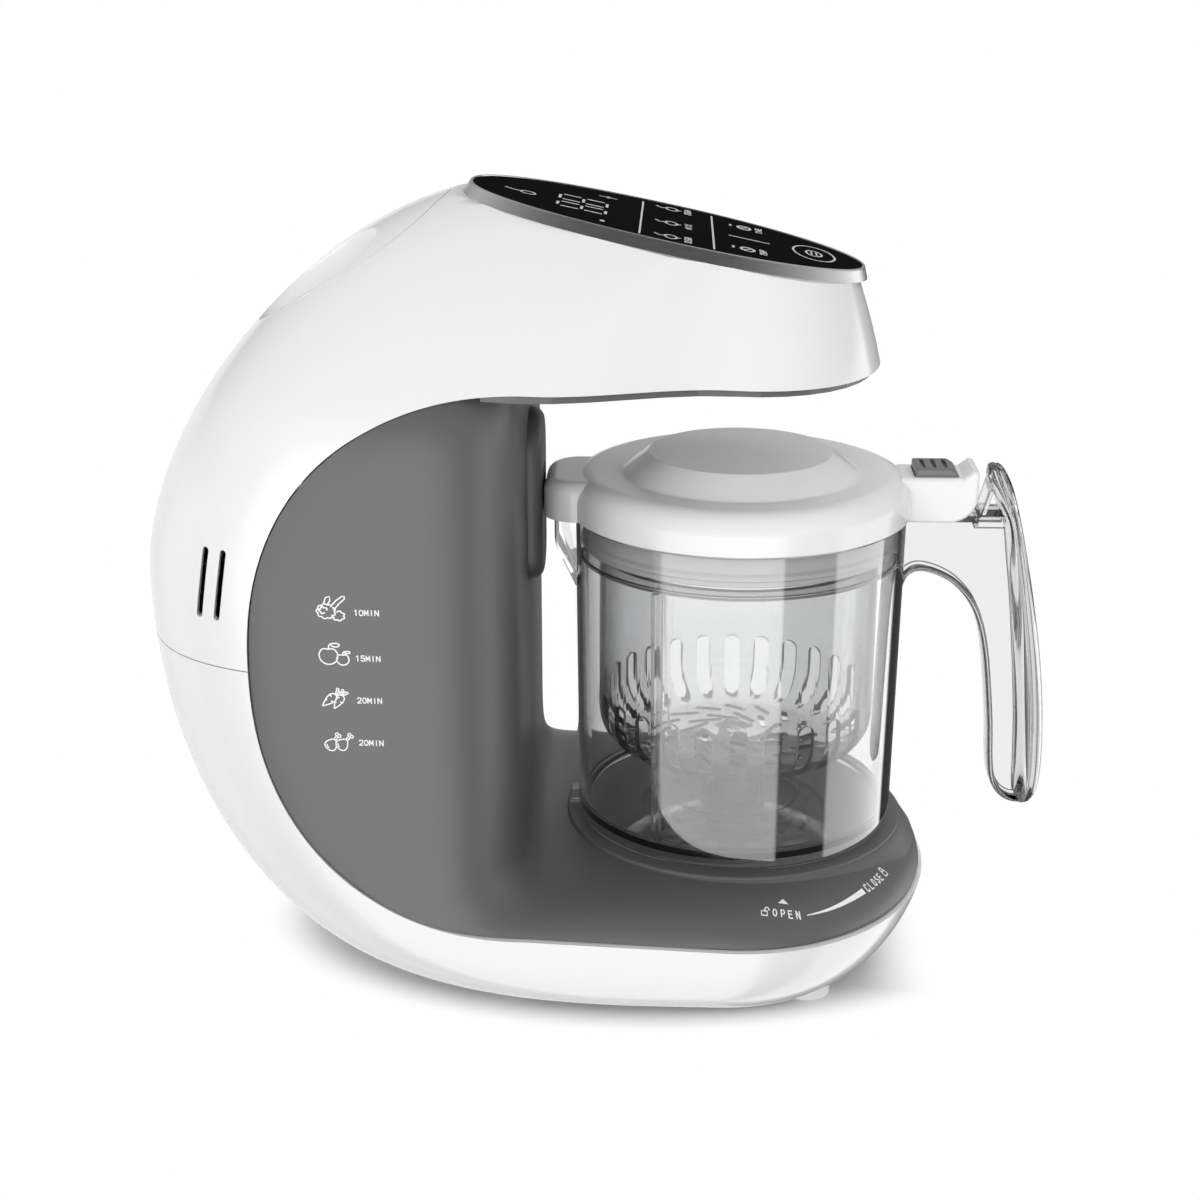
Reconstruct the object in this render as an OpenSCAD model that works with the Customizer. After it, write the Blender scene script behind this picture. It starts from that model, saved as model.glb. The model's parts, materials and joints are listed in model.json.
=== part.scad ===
// Countertop steamer and blender for baby food: a C-shaped body carries a sloping
// touch panel on its head and a clear blending jar on its deck.
// The jar axis is the working axis. X points to the front, Z points up, and the
// feet stand on z = 0.

/* [Body] */
// Reach of the body behind the jar axis
back_reach = 194; // [188:1:200]
// Half of the body's width
side_half = 83; // [81:0.5:86]
// Height of the rearmost point
back_z = 140; // [132:1:148]
// Height of the top of the rear curve
body_h = 260; // [256:1:264]
// Length over which the rear curve runs forward to the top
top_run = 116; // [112:1:120]
// Length over which the rear curve runs forward to the bottom
low_run = 104; // [98:1:108]
// Length over which the sides close towards the rear
rear_len = 98; // [92:1:104]
// Thickness of the moulded walls
wall = 2.5; // [2:0.1:3]
// Gap between mouldings that meet at a visible joint
seam_gap = 0.4; // [0.3:0.05:0.6]
// Height of the joint between the upper and the lower shell
seam_z = 120.5; // [112:0.5:128]

/* [Base] */
// Height of the bottom of the base
base_z = 3; // [2:0.5:4]
// Height at which the base is widest
edge_z = 33; // [31:0.5:35]
// Half width of the bottom of the base
foot_half = 62.5; // [58:0.5:66]
// Reach of the base in front of the jar axis
toe_reach = 67.5; // [66:0.5:70]
// Reach of the bottom of the base in front of the jar axis
toe_low = 47.5; // [44:0.5:52]
// Distance behind the jar axis at which the toe begins to round
toe_from = 5; // [0:1:10]
// Reach of the bottom cover behind the jar axis
cover_back = 80; // [74:1:84]
// Reach of the bottom cover in front of the jar axis
cover_front = 40; // [36:1:43]
// Half width of the bottom cover
cover_half = 46; // [42:1:48]
// Corner radius of the bottom cover
cover_r = 34; // [28:1:36]
// Radius of a foot
foot_r = 8; // [6:0.5:9]
// Distance of the rear feet behind the jar axis
foot_back = 72; // [66:1:76]
// Distance of the front feet in front of the jar axis
foot_front = 24; // [16:1:28]
// Distance of each foot from the centre line
foot_side = 51; // [46:1:54]

/* [Head] */
// Height at which the head begins to taper
head_z = 198; // [194:1:201]
// Height at which the taper of the head would end
crown_z = 262; // [260:1:266]
// Half width left at the end of the taper
crown_half = 20; // [16:1:24]
// Half width of the nose at its root
nose_low = 58; // [54:1:60]
// Half width of the nose at the end of the taper
nose_top = 18; // [15:1:21]
// Reach of the nose in front of the jar axis
brow_reach = 45.3; // [43:0.5:48]
// Reach of the nose at the end of the taper
brow_top = 21.4; // [18:0.5:24]
// Distance behind the jar axis at which the nose begins to round
nose_from = 4; // [0:1:8]
// Thickness of the cover under the head
under_t = 2; // [1.5:0.1:3]

/* [Front opening] */
// Distance of the opening's rear centre behind the jar axis
core_x = 67; // [64:1:70]
// Height of the opening's centre
core_z = 119.7; // [117:0.5:123]
// Depth of the opening's round rear end
core_run = 85; // [82:1:88]
// Height of the opening above its centre
core_up = 88.3; // [86:0.5:90]
// Depth of the opening below its centre
core_down = 87.2; // [85:0.5:89]
// Fall of the opening's upper and lower edge towards the front
core_lean = 0.042; // [0.03:0.002:0.06]
// Distance of the column's front face behind the jar axis
col_x = 70; // [68.5:0.5:73]
// Radius of the column's front corners
col_r = 26; // [18:1:32]

/* [Deck] */
// Height of the deck around the jar
deck_z = 43; // [42:0.5:44]
// Width of the sloping shoulder of the deck
deck_slope = 27; // [24:1:30]
// Height of the round seat under the jar
seat_z = 44; // [43.5:0.1:44.2]
// Radius of the round seat
seat_r = 58; // [56.5:0.5:60]
// Radius of the well for the jar's collar
well_r = 32; // [31.5:0.5:35]
// Height of the floor of the well
well_z = 36; // [35:0.5:36.5]

/* [Touch panel] */
// Distance of the panel's centre behind the jar axis
panel_x = 22; // [20:0.5:24]
// Height of the panel's centre
panel_z = 246.9; // [246:0.1:248]
// Slope of the panel towards the front in degrees
panel_tilt = 12; // [11:0.25:13]
// Length of the panel behind its centre
panel_rear = 69; // [66:0.5:70]
// Length of the panel in front of its centre
panel_front = 63.5; // [60:0.5:65]
// Half width of the panel
panel_half = 41.5; // [38:0.5:42]
// Height of the metal ring round the panel
bezel_h = 3.8; // [3:0.1:5]
// Width of the metal ring round the panel
bezel_w = 2.6; // [2:0.1:4]
// Width of the ledge that carries the panel
panel_ledge = 6; // [4:0.5:8]

/* [Water tank] */
// Distance of the tank's filler behind the jar axis
tank_x = 130; // [128:0.5:132]
// Radius of the tank lid
tank_lid_r = 35.3; // [33:0.1:36]
// Length of the finger scoop in the tank lid
scoop_len = 25; // [20:0.5:27]
// Half width of the finger scoop in the tank lid
scoop_half = 30; // [24:0.5:31]
// Depth of the finger scoop in the tank lid
scoop_d = 9; // [5:0.5:12]
// Height of the bottom of the tank
tank_low = 168; // [165:1:172]
// Height of the shoulder of the tank
tank_top = 200; // [190:1:204]
// Half width of the tank
tank_half = 52; // [46:1:56]

/* [Jar] */
// Height of the jar's foot
jar_z = 44.3; // [44.3:0.1:45]
// Outer radius of the jar at its foot
jar_low_r = 54.2; // [53:0.1:55]
// Outer radius of the jar at its rim
jar_top_r = 55.6; // [55:0.1:56]
// Wall of the jar
jar_wall = 2.2; // [1.8:0.1:2.6]
// Thickness of the jar's floor
jar_floor = 3; // [2.5:0.1:4]
// Radius of the collar under the jar
collar_r = 26; // [25:0.5:27]
// Reach of the pouring spout behind the jar axis
spout_x = 62; // [60:0.5:63]
// Reach of the handle in front of the jar axis
handle_reach = 106; // [103:0.5:110]
// Depth of the handle's bar
handle_d = 18.5; // [16:0.5:21]
// Width of the handle's bar
handle_w = 18; // [14:0.5:22]
// Width of the handle's web
handle_web = 9; // [6:0.5:12]
// Height of the handle's upper end
handle_top = 168; // [164:0.5:172]
// Height of the handle's lower end
handle_low = 47; // [46:0.5:60]

/* [Lid] */
// Height of the lower edge of the lid
lid_z = 152.4; // [150:0.2:154]
// Outer radius of the lid
lid_r = 57; // [56.8:0.1:58]
// Height of the lid's rim
lid_h = 13.6; // [12:0.2:15]
// Radius of the raised middle of the lid
dome_r = 29.5; // [26:0.5:32]
// Height of the raised middle above the rim
dome_h = 6.2; // [5:0.2:8]
// Width of the concave flank of the raised middle
dome_flank = 9; // [7:0.5:11]
// Wall of the lid
lid_wall = 2; // [1.6:0.1:2.4]
// Reach of the steam tab behind the jar axis
tab_x = 64.8; // [63.5:0.1:65]
// Half width of the steam tab
tab_half = 20; // [16:0.5:22]
// Reach of the latch arm in front of the jar axis
arm_x = 78; // [76:0.5:79]
// Half width of the latch arm
arm_half = 9.5; // [8.5:0.5:10.5]
// Travel of the latch button
button_travel = 2.5; // [1.5:0.5:3]

/* [Basket] */
// Height of the lowest part of the basket's floor
basket_z = 68.5; // [68.5:0.5:72]
// Rise of the basket's floor towards its middle
basket_rise = 3.2; // [2.5:0.1:4]
// Outer radius of the basket's wall
basket_r = 47; // [44:0.5:48]
// Height of the basket's rim
basket_rim_z = 139; // [136:0.5:141]
// Wall of the basket
basket_wall = 1.8; // [1.4:0.1:2.4]
// Number of slots round the basket
basket_slots = 26; // [18:1:28]
// Width of a slot in the basket
slot_w = 5.6; // [4:0.2:6]
// Height of a slot in the basket
slot_h = 20.5; // [14:0.5:24]

/* [Drive] */
// Radius of the motor
motor_r = 29; // [25:0.5:30]
// Distance of the motor behind the jar axis
motor_x = 108; // [106:0.5:110]
// Height of the bottom of the motor
motor_z = 38; // [34:0.5:42]
// Height of the shelf that carries the motor
shelf_z = 98; // [92:0.5:100]
// Radius of the motor pulley
small_pulley_r = 12; // [10:0.5:13]
// Radius of the driven pulley
large_pulley_r = 24; // [20:0.5:26]
// Height of the pulleys above the table
pulley_z = 13; // [12:0.5:14]
// Width of the pulleys
pulley_w = 9; // [8:0.5:9]
// Thickness of the belt
belt_t = 2; // [1.5:0.1:2.5]
// Radius of the drive shaft
shaft_r = 4; // [3.5:0.1:4.5]
// Running clearance on a shaft
run_gap = 0.05; // [0.03:0.01:0.08]
// Reach of the blades
blade_reach = 27; // [20:0.5:30]

/* [Steam] */
// Radius of the boiler
boiler_r = 30; // [26:0.5:32]
// Height of the boiler
boiler_h = 34; // [28:0.5:38]
// Height of the steam outlet
steam_z = 159.4; // [158:0.2:161]
// Bore of the steam outlet
steam_r = 4.5; // [3:0.25:5]

/* [Hidden] */
$fn = 96;

// The jar axis stands forward of the middle of the overall length.
jar_x = (back_reach - handle_reach) / 2;
// Exponents of the superellipse curves of the body.
top_round = 1.67;
low_round = 2.2;
rear_round = 2.9;
bowl_round = 2.8;
toe_round = 1.6;
shoulder_round = 1.2;
nose_round = 1.33;
brow_round = 1.24;
core_round = 2.25;
// Steps of the body's outline: rear curve, flank and nose.
rear_steps = 9;
flank_steps = 5;
nose_steps = 9;
far = 400;
eps = 0.01;

white = [0.93, 0.93, 0.92];
grey = [0.44, 0.44, 0.44];
clear = [0.80, 0.83, 0.85, 0.45];
dark = [0.12, 0.12, 0.13];
steel = [0.75, 0.76, 0.78];
rubber = [0.30, 0.30, 0.31];
board_green = [0.10, 0.35, 0.20];

fit_gap = 0.3;
shelf_t = 3;
foot_h = 8.4;
bearing_r = 8;
bearing_h = 6;
bearing_z = 25.5;
holder_wall = 4;
coupling_r = 13;
coupling_t = 2;
coupling_gap = 0.4;
dog_h = 3.6;
dog_angle = 40;
lug_count = 3;
lug_angle = 26;
lug_t = 2;
lug_reach = 2.4;
keeper_t = 2;
collar_z = well_z + 2;
floor_z = jar_z + 2;
floor_top = floor_z + jar_floor;
neck_r = collar_r - 4;
bush_r = 8;
bush_h = 8;
hub_r = 9;
hub_h = 5;
blade_t = 1.6;
blade_z = floor_top + bush_h + hub_h + 0.6;
lid_top = lid_z + lid_h;
lid_round = 3;
jar_rim_z = lid_top - lid_wall - lid_round;
seal_h = 11;
shelf_top = shelf_z + shelf_t;
outlet_x = tab_x + 0.5;
neck_out = tank_lid_r + 1.1;
neck_in = tank_lid_r - 1.5;

function quarter(u, n) = pow(max(0, 1 - pow(min(1, max(0, u)), n)), 1 / n);
function blend(t) = t * t * (3 - 2 * t);

// Outline of the body at each height.
function low_u(z) = (edge_z - z) / (edge_z - base_z);
function high_u(z) = (z - head_z) / (crown_z - head_z);
function rear_x(z) = z >= back_z
    ? -back_reach + top_run * (1 - quarter((z - back_z) / (body_h - back_z), top_round))
    : -back_reach + low_run * (1 - quarter((back_z - z) / (back_z - base_z), low_round));
function flank_y(z) = z < edge_z
    ? foot_half + (side_half - foot_half) * quarter(low_u(z), bowl_round)
    : z > head_z
    ? crown_half + (side_half - crown_half) * quarter(high_u(z), shoulder_round)
    : side_half;
function nose_y(z) = z > head_z
    ? nose_top + (nose_low - nose_top) * quarter(high_u(z), nose_round)
    : flank_y(z);
function nose_x(z) = z < edge_z
    ? toe_low + (toe_reach - toe_low) * quarter(low_u(z), toe_round)
    : z > head_z
    ? brow_top + (brow_reach - brow_top) * quarter(high_u(z), brow_round)
    : toe_reach;
function round_x(z) = z > head_z ? -nose_from : -toe_from;
// Height of the rear curve above a place on the centre line.
function rear_z(x) = back_z + (body_h - back_z) * quarter(1 - (x + back_reach) / top_run, top_round);

// Half of an outline, from the rear to the nose, drawn in by t.
function half_ring(z, t) = let(
    xb = rear_x(z) + t,
    w = flank_y(z) - t,
    n = nose_y(z) - t,
    xf = nose_x(z) - t,
    xs = round_x(z),
    len = rear_len - t)
    concat(
        [for (i = [0:rear_steps]) let(a = 90 * i / rear_steps)
            [xb + len * (1 - pow(cos(a), 2 / rear_round)), w * pow(sin(a), 2 / rear_round)]],
        [for (i = [1:flank_steps]) let(f = i / (flank_steps + 1))
            [xb + len + (xs - xb - len) * f, w + (n - w) * blend(f)]],
        [for (i = [0:nose_steps]) let(a = 90 * i / nose_steps)
            [xs + (xf - xs) * sin(a), n * cos(a)]]);
function ring(z, t) = let(h = half_ring(z, t), k = len(h) - 1)
    concat([for (i = [0:k]) [h[i][0], -h[i][1]]], [for (i = [k - 1:-1:1]) h[i]]);

// Heights at which the body's outline is drawn, from just below the base.
function levels(t) = concat(
    [base_z - 1],
    [for (i = [0:5]) base_z + t + (edge_z - base_z - t) * pow(i / 6, 1.6)],
    [for (i = [0:4]) edge_z + (back_z - edge_z) * i / 5],
    [for (i = [0:3]) back_z + (head_z - back_z) * i / 3],
    [for (i = [0:9]) head_z + 0.05 + (body_h - 0.6 - t - head_z) * (1 - pow(1 - i / 9, 1.4))]);

// Stacked outlines joined into one closed solid, whose ends are strips across the width.
module stack(rings) {
    m = len(rings[0]);
    k = len(rings) - 1;
    half = m / 2;
    sides = [for (i = [0:k - 1]) for (j = [0:m - 1]) let(n = (j + 1) % m, a = i * m, b = a + m)
        each [[a + j, b + j, b + n], [a + j, b + n, a + n]]];
    bottom = concat([[0, 1, m - 1]], [for (j = [1:half - 2]) [j, j + 1, m - j - 1, m - j]],
        [[half - 1, half, half + 1]]);
    top = [for (f = bottom) [for (i = [len(f) - 1:-1:0]) k * m + f[i]]];
    polyhedron([for (r = rings) each r], concat(sides, bottom, top), convexity = 8);
}
// The body drawn in by t, from the given height up.
module body_solid(t, from = 0) {
    stack([for (z = levels(t)) if (z > from) [for (p = ring(z, t)) [p[0], p[1], z]]]);
}

// Side view of the front opening, drawn in by i.
function core_low(x) = core_z - core_down - core_lean * (x + core_x);
function core_high(x) = core_z + core_up - core_lean * (x + core_x);
function core_outline(i) = concat(
    [for (k = [0:20]) let(a = 90 * k / 20)
        [-core_x - (core_run - i) * pow(sin(a), 2 / core_round),
         core_z + (core_up - i) * pow(cos(a), 2 / core_round)]],
    [for (k = [19:-1:0]) let(a = 90 * k / 20)
        [-core_x - (core_run - i) * pow(sin(a), 2 / core_round),
         core_z - (core_down - i) * pow(cos(a), 2 / core_round)]],
    [[far, core_low(far) + i], [far, core_high(far) - i]]);
module along_y(depth) {
    rotate([90, 0, 0]) translate([0, 0, -depth / 2]) linear_extrude(depth) children();
}
module core_space(i) {
    along_y(far) polygon(core_outline(i));
}

// Plan of the column with its round front corners, drawn in by i.
module column_plan(i) {
    r = col_r - i;
    cx = -col_x - col_r;
    cy = side_half - col_r;
    polygon(concat(
        [[-far, -far], [cx, -far]],
        [for (k = [0:12]) let(a = -90 + 90 * k / 12) [cx + r * cos(a), -cy + r * sin(a)]],
        [for (k = [0:12]) let(a = 90 * k / 12) [cx + r * cos(a), cy + r * sin(a)]],
        [[cx, far], [-far, far]]));
}

// Places a shape in the sloping plane of the touch panel.
module on_panel() {
    translate([-panel_x, 0, panel_z]) rotate([0, panel_tilt, 0]) children();
}
// Outline of the touch panel, drawn in by i.
panel_round = 2.2;
panel_steps = 14;
function panel_half_outline(i) = concat(
    [for (k = [0:panel_steps]) let(a = 90 * k / panel_steps)
        [-(panel_rear - i) * pow(cos(a), 2 / panel_round), (panel_half - i) * pow(sin(a), 2 / panel_round)]],
    [for (k = [1:panel_steps]) let(a = 90 * k / panel_steps)
        [(panel_front - i) * sin(a), (panel_half - i) * cos(a)]]);
module panel_shape(i) {
    h = panel_half_outline(i);
    k = len(h) - 1;
    polygon(concat(h, [for (j = [k - 1:-1:1]) [h[j][0], -h[j][1]]]));
}
// Everything above the seat of the metal ring.
module above_panel(d) {
    on_panel() translate([-far / 2, -far / 2, -d]) cube(far);
}

module ring_solid(r_out, r_in, h) {
    difference() {
        cylinder(r = r_out, h = h);
        translate([0, 0, -1]) cylinder(r = r_in, h = h + 2);
    }
}
module ring_sector(r_out, r_in, h, angle) {
    rotate([0, 0, -angle / 2]) rotate_extrude(angle = angle)
        translate([r_in, 0]) square([r_out - r_in, h]);
}
// Two dogs of a coupling, half a turn apart.
module dogs(h) {
    for (i = [0:1]) rotate([0, 0, 180 * i])
        ring_sector(coupling_r - 0.5, shaft_r + 2, h, dog_angle);
}
module placed() {
    translate([jar_x, 0, 0]) children();
}

// Vent slots in each flank of the upper shell.
vent_len = 23;
vent_w = 2;
vent_lean = 9;
vent_z = 147.2;
vent_xs = [165.8, 159.8];
module vents() {
    for (x = vent_xs)
        translate([-x, 0, vent_z]) rotate([0, vent_lean, 0]) {
            cube([vent_w, far, vent_len - vent_w], center = true);
            for (s = [-1, 1]) translate([0, 0, s * (vent_len - vent_w) / 2])
                rotate([90, 0, 0]) cylinder(d = vent_w, h = far, center = true);
        }
}
// The shell's outer and inner body run past the seam by different lengths before they are cut there.
skin_run = 40;
cavity_run = 60;
module upper_shell() {
    color(white) placed() difference() {
        body_solid(0, seam_z - skin_run);
        intersection() {
            body_solid(wall, seam_z - cavity_run);
            difference() {
                translate([-far, -far, 0]) cube(2 * far);
                above_panel(bezel_h + wall);
            }
        }
        core_space(0);
        above_panel(bezel_h);
        on_panel() translate([0, 0, -bezel_h - 4 * wall]) linear_extrude(5 * wall)
            panel_shape(panel_ledge);
        translate([-far, -far, -far + seam_z + seam_gap / 2]) cube([2 * far, 2 * far, far]);
        translate([-tank_x, 0, head_z]) cylinder(r = tank_lid_r + seam_gap, h = far);
        vents();
    }
}

module feet_places() {
    for (x = [-foot_back, foot_front]) for (s = [-1, 1])
        translate([x, s * foot_side, 0]) children();
}
inlet_z = 40;
inlet_r = 6;
inlet_flange = 2;
inlet_wall = 2.5;
// Everything above a height.
module above(z) {
    translate([-far, -far, z]) cube(2 * far);
}
module lower_shell() {
    color(white) placed() difference() {
        intersection() {
            body_solid(0);
            above(base_z);
        }
        intersection() {
            body_solid(wall);
            above(base_z + wall);
        }
        core_space(0);
        above(seam_z - seam_gap / 2);
        translate([0, 0, -eps]) linear_extrude(edge_z / 3) cover_plan(-seam_gap);
        feet_places() cylinder(r = foot_r + fit_gap, h = foot_h + fit_gap);
        translate([-far, 0, inlet_z]) rotate([0, 90, 0])
            cylinder(r = inlet_r + fit_gap, h = far - motor_x);
    }
}

// Shoulders of the deck: inset and share of the rise.
deck_in = [0, 0.03, 0.1, 0.22, 0.4, 0.66, 1];
deck_up = [0, 0.16, 0.36, 0.58, 0.77, 0.92, 1];
module deck_solid(t) {
    stack([for (i = [0:len(deck_in) - 1]) [for (p = ring(edge_z, t + deck_in[i] * deck_slope))
        [p[0], p[1], (core_low(p[0]) + seam_gap) * (1 - deck_up[i]) + deck_z * deck_up[i] - t]]]);
}
module inner_housing() {
    color(grey) placed() difference() {
        union() {
            intersection() {
                body_solid(0);
                core_space(seam_gap);
                linear_extrude(far) column_plan(0);
            }
            intersection() {
                deck_solid(0);
                translate([-col_x - wall, -far, 0]) cube(2 * far);
            }
            translate([0, 0, deck_z - wall]) cylinder(r = seat_r, h = seat_z - deck_z + wall);
            translate([0, 0, well_z - wall]) cylinder(r = well_r + wall, h = deck_z - well_z);
        }
        intersection() {
            body_solid(wall);
            linear_extrude(far) column_plan(wall);
        }
        difference() {
            intersection() {
                deck_solid(wall);
                translate([-col_x - 2 * wall, -far, 0]) cube(2 * far);
            }
            translate([0, 0, well_z - wall]) cylinder(r = well_r + wall, h = far);
        }
        translate([0, 0, well_z]) cylinder(r = well_r, h = far);
        cylinder(r = shaft_r + 1, h = far);
        translate([-col_x - 2 * wall, 0, steam_z]) rotate([0, 90, 0])
            cylinder(r = steam_r + wall + fit_gap, h = 4 * wall);
    }
}

module head_cover() {
    gap = seam_gap;
    color(grey) placed() intersection() {
        linear_extrude(far) difference() {
            polygon(ring(core_high(0), under_t));
            column_plan(-gap);
        }
        along_y(far) translate([0, -fit_gap]) polygon([[-far, core_high(-far) - under_t],
            [far, core_high(far) - under_t], [far, core_high(far)], [-far, core_high(-far)]]);
    }
}

module panel_bezel() {
    color(steel) placed() on_panel() translate([0, 0, -bezel_h]) linear_extrude(bezel_h)
        difference() {
            panel_shape(0);
            panel_shape(bezel_w);
        }
}
glass_drop = 0.2;
module touch_panel() {
    color(dark) placed() on_panel() translate([0, 0, -bezel_h]) linear_extrude(bezel_h - glass_drop)
        panel_shape(bezel_w + fit_gap);
}
display_len = 22;
display_wid = 36;
display_h = 5;
display_back = 30;
board_len = 96;
board_wid = 46;
board_t = 1.6;
module display_module() {
    color(dark) placed() on_panel()
        translate([-display_back - display_len / 2, -display_wid / 2, -bezel_h - display_h])
            cube([display_len, display_wid, display_h]);
}
module control_board() {
    color(board_green) placed() on_panel()
        translate([-board_len / 2, -board_wid / 2, -bezel_h - display_h - board_t])
            cube([board_len, board_wid, board_t]);
}

// Finger scoop of the tank lid, grown by g.
scoop_back = 5;
scoop_sink = 5.5;
scoop_tilt = 42;
module scoop(g) {
    x = -tank_x - scoop_back;
    translate([x, 0, rear_z(x) - scoop_sink]) rotate([0, -scoop_tilt, 0])
        scale([scoop_len + g, scoop_half + g, scoop_d + g]) sphere(r = 1, $fn = 40);
}
module tank_lid() {
    color(white) placed() difference() {
        intersection() {
            body_solid(0, back_z);
            translate([-tank_x, 0, head_z]) cylinder(r = tank_lid_r, h = far);
        }
        difference() {
            body_solid(wall, back_z);
            scoop(wall);
        }
        scoop(0);
    }
}
tank_len = 66;
// The tank's box and filler neck, drawn in by t.
module tank_shape(t, neck) {
    translate([-tank_x - tank_len / 2 + t, -tank_half + t, tank_low + t])
        cube([tank_len - 2 * t, 2 * (tank_half - t), tank_top - tank_low - 2 * t]);
    translate([-tank_x, 0, tank_low + t]) cylinder(r = neck, h = far);
}
module water_tank() {
    color(clear) placed() difference() {
        intersection() {
            tank_shape(0, neck_out);
            body_solid(wall + 2 * fit_gap, back_z);
        }
        intersection() {
            tank_shape(wall, neck_in);
            body_solid(2 * wall, back_z);
        }
        translate([-tank_x, 0, tank_top]) cylinder(r = neck_in, h = far);
    }
}
pump_x = motor_x + 27;
pump_y = 45;
pump_r = 14;
pump_h = 36;
tube_r = 3;
tube_wall = 1;
tube_gap = 0.1;
module tank_tube() {
    z = shelf_top + pump_h;
    color(clear) placed() translate([-pump_x, pump_y, z])
        ring_solid(tube_r, tube_r - tube_wall, tank_low - z);
}
module water_pump() {
    color(dark) placed() translate([-pump_x, pump_y, shelf_top]) cylinder(r = pump_r, h = pump_h);
}
module feed_tube() {
    span = norm([pump_x - motor_x, pump_y]) - pump_r - boiler_r;
    color(clear) placed() translate([-motor_x, 0, shelf_top + boiler_h / 2])
        rotate([0, 0, 180 - atan2(pump_y, pump_x - motor_x)])
        translate([boiler_r + tube_gap, 0, 0]) rotate([0, 90, 0])
            ring_solid(tube_r, tube_r - tube_wall, span - 2 * tube_gap);
}
boiler_legs = 4;
boiler_leg_r = 4;
module boiler() {
    color(steel) placed() translate([-motor_x, 0, shelf_top]) {
        translate([0, 0, boiler_legs]) cylinder(r = boiler_r, h = boiler_h - boiler_legs);
        for (i = [0:2]) rotate([0, 0, 120 * i + 60]) translate([boiler_r - 1.5 * boiler_leg_r, 0, 0])
            cylinder(r = boiler_leg_r, h = boiler_legs + 1);
    }
}
thermostat_r = 6;
thermostat_h = 8;
module thermostat() {
    color(dark) placed() translate([-motor_x - boiler_r / 2, -boiler_r / 2, shelf_top + boiler_h])
        cylinder(r = thermostat_r, h = thermostat_h);
}
steam_bend = 9;
steam_wall = 1.2;
module steam_tube() {
    z = shelf_top + boiler_h;
    color(clear) placed() translate([-motor_x, 0, 0]) {
        translate([0, 0, z]) ring_solid(steam_r, steam_r - steam_wall, steam_z - steam_bend - z);
        translate([steam_bend, 0, steam_z - steam_bend]) rotate([90, 0, 0]) rotate([0, 0, 90])
            rotate_extrude(angle = 90) translate([steam_bend, 0]) difference() {
                circle(r = steam_r);
                circle(r = steam_r - steam_wall);
            }
        translate([steam_bend, 0, steam_z]) rotate([0, 90, 0])
            ring_solid(steam_r, steam_r - steam_wall, motor_x - steam_bend - col_x - wall);
    }
}
outlet_half = 22;
outlet_up = 36;
outlet_down = 32;
outlet_corner = 8;
seal_w = 2;
module steam_outlet() {
    depth = col_x - outlet_x;
    color(grey) placed() translate([-col_x, 0, steam_z]) difference() {
        union() {
            rotate([90, 0, 90]) linear_extrude(depth) {
                translate([-outlet_half, -outlet_down + outlet_corner])
                    square([2 * outlet_half, outlet_up + outlet_down - 2 * outlet_corner]);
                translate([-outlet_half + outlet_corner, -outlet_down])
                    square([2 * (outlet_half - outlet_corner), outlet_up + outlet_down]);
                for (s = [-1, 1]) for (h = [-outlet_down + outlet_corner, outlet_up - outlet_corner])
                    translate([s * (outlet_half - outlet_corner), h]) circle(r = outlet_corner);
            }
            translate([-wall, 0, 0]) rotate([0, 90, 0]) cylinder(r = steam_r + wall, h = wall + eps);
        }
        translate([-2 * wall, 0, 0]) rotate([0, 90, 0]) cylinder(r = steam_r - 1, h = 4 * wall);
        translate([depth - seal_w, 0, 0]) rotate([0, 90, 0])
            cylinder(r = steam_r + 2 * seal_w, h = seal_w + 1);
    }
}
module outlet_seal() {
    color(rubber) placed() translate([-outlet_x - seal_w, 0, steam_z]) rotate([0, 90, 0])
        ring_solid(steam_r + 2 * seal_w - 0.1, steam_r, seal_w);
}
power_len = 50;
power_h = 46;
power_y = 52;
module power_board() {
    color(board_green) placed() translate([-motor_x - power_len / 2, -power_y, shelf_top])
        cube([power_len, board_t, power_h]);
}

shelf_back = 144;
shelf_half = 72;
module motor_shelf() {
    color(grey) placed() translate([0, 0, shelf_z]) linear_extrude(shelf_t) intersection() {
        column_plan(wall + fit_gap);
        translate([-shelf_back, -shelf_half]) square(2 * shelf_half);
    }
}
motor_shaft_r = 3;
module motor() {
    color(steel) placed() translate([-motor_x, 0, motor_z]) difference() {
        cylinder(r = motor_r, h = shelf_z - motor_z);
        translate([0, 0, -1]) cylinder(r = motor_shaft_r + run_gap, h = motor_r);
    }
}
belt_gap = 0.5;
// A pulley with a groove for the flat belt, on its own axis.
module pulley(r) {
    flange = 1.5;
    rotate_extrude() polygon([[0, 0], [r + belt_t, 0], [r + belt_t, flange], [r - belt_gap, flange],
        [r - belt_gap, pulley_w - flange], [r + belt_t, pulley_w - flange], [r + belt_t, pulley_w],
        [0, pulley_w]]);
}
module motor_pulley() {
    color(dark) placed() translate([-motor_x, 0, pulley_z]) {
        pulley(small_pulley_r);
        translate([0, 0, pulley_w])
            cylinder(r = motor_shaft_r, h = motor_z + motor_r / 2 - pulley_z - pulley_w);
    }
}
belt_w = 5.4;
belt_steps = 24;
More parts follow.
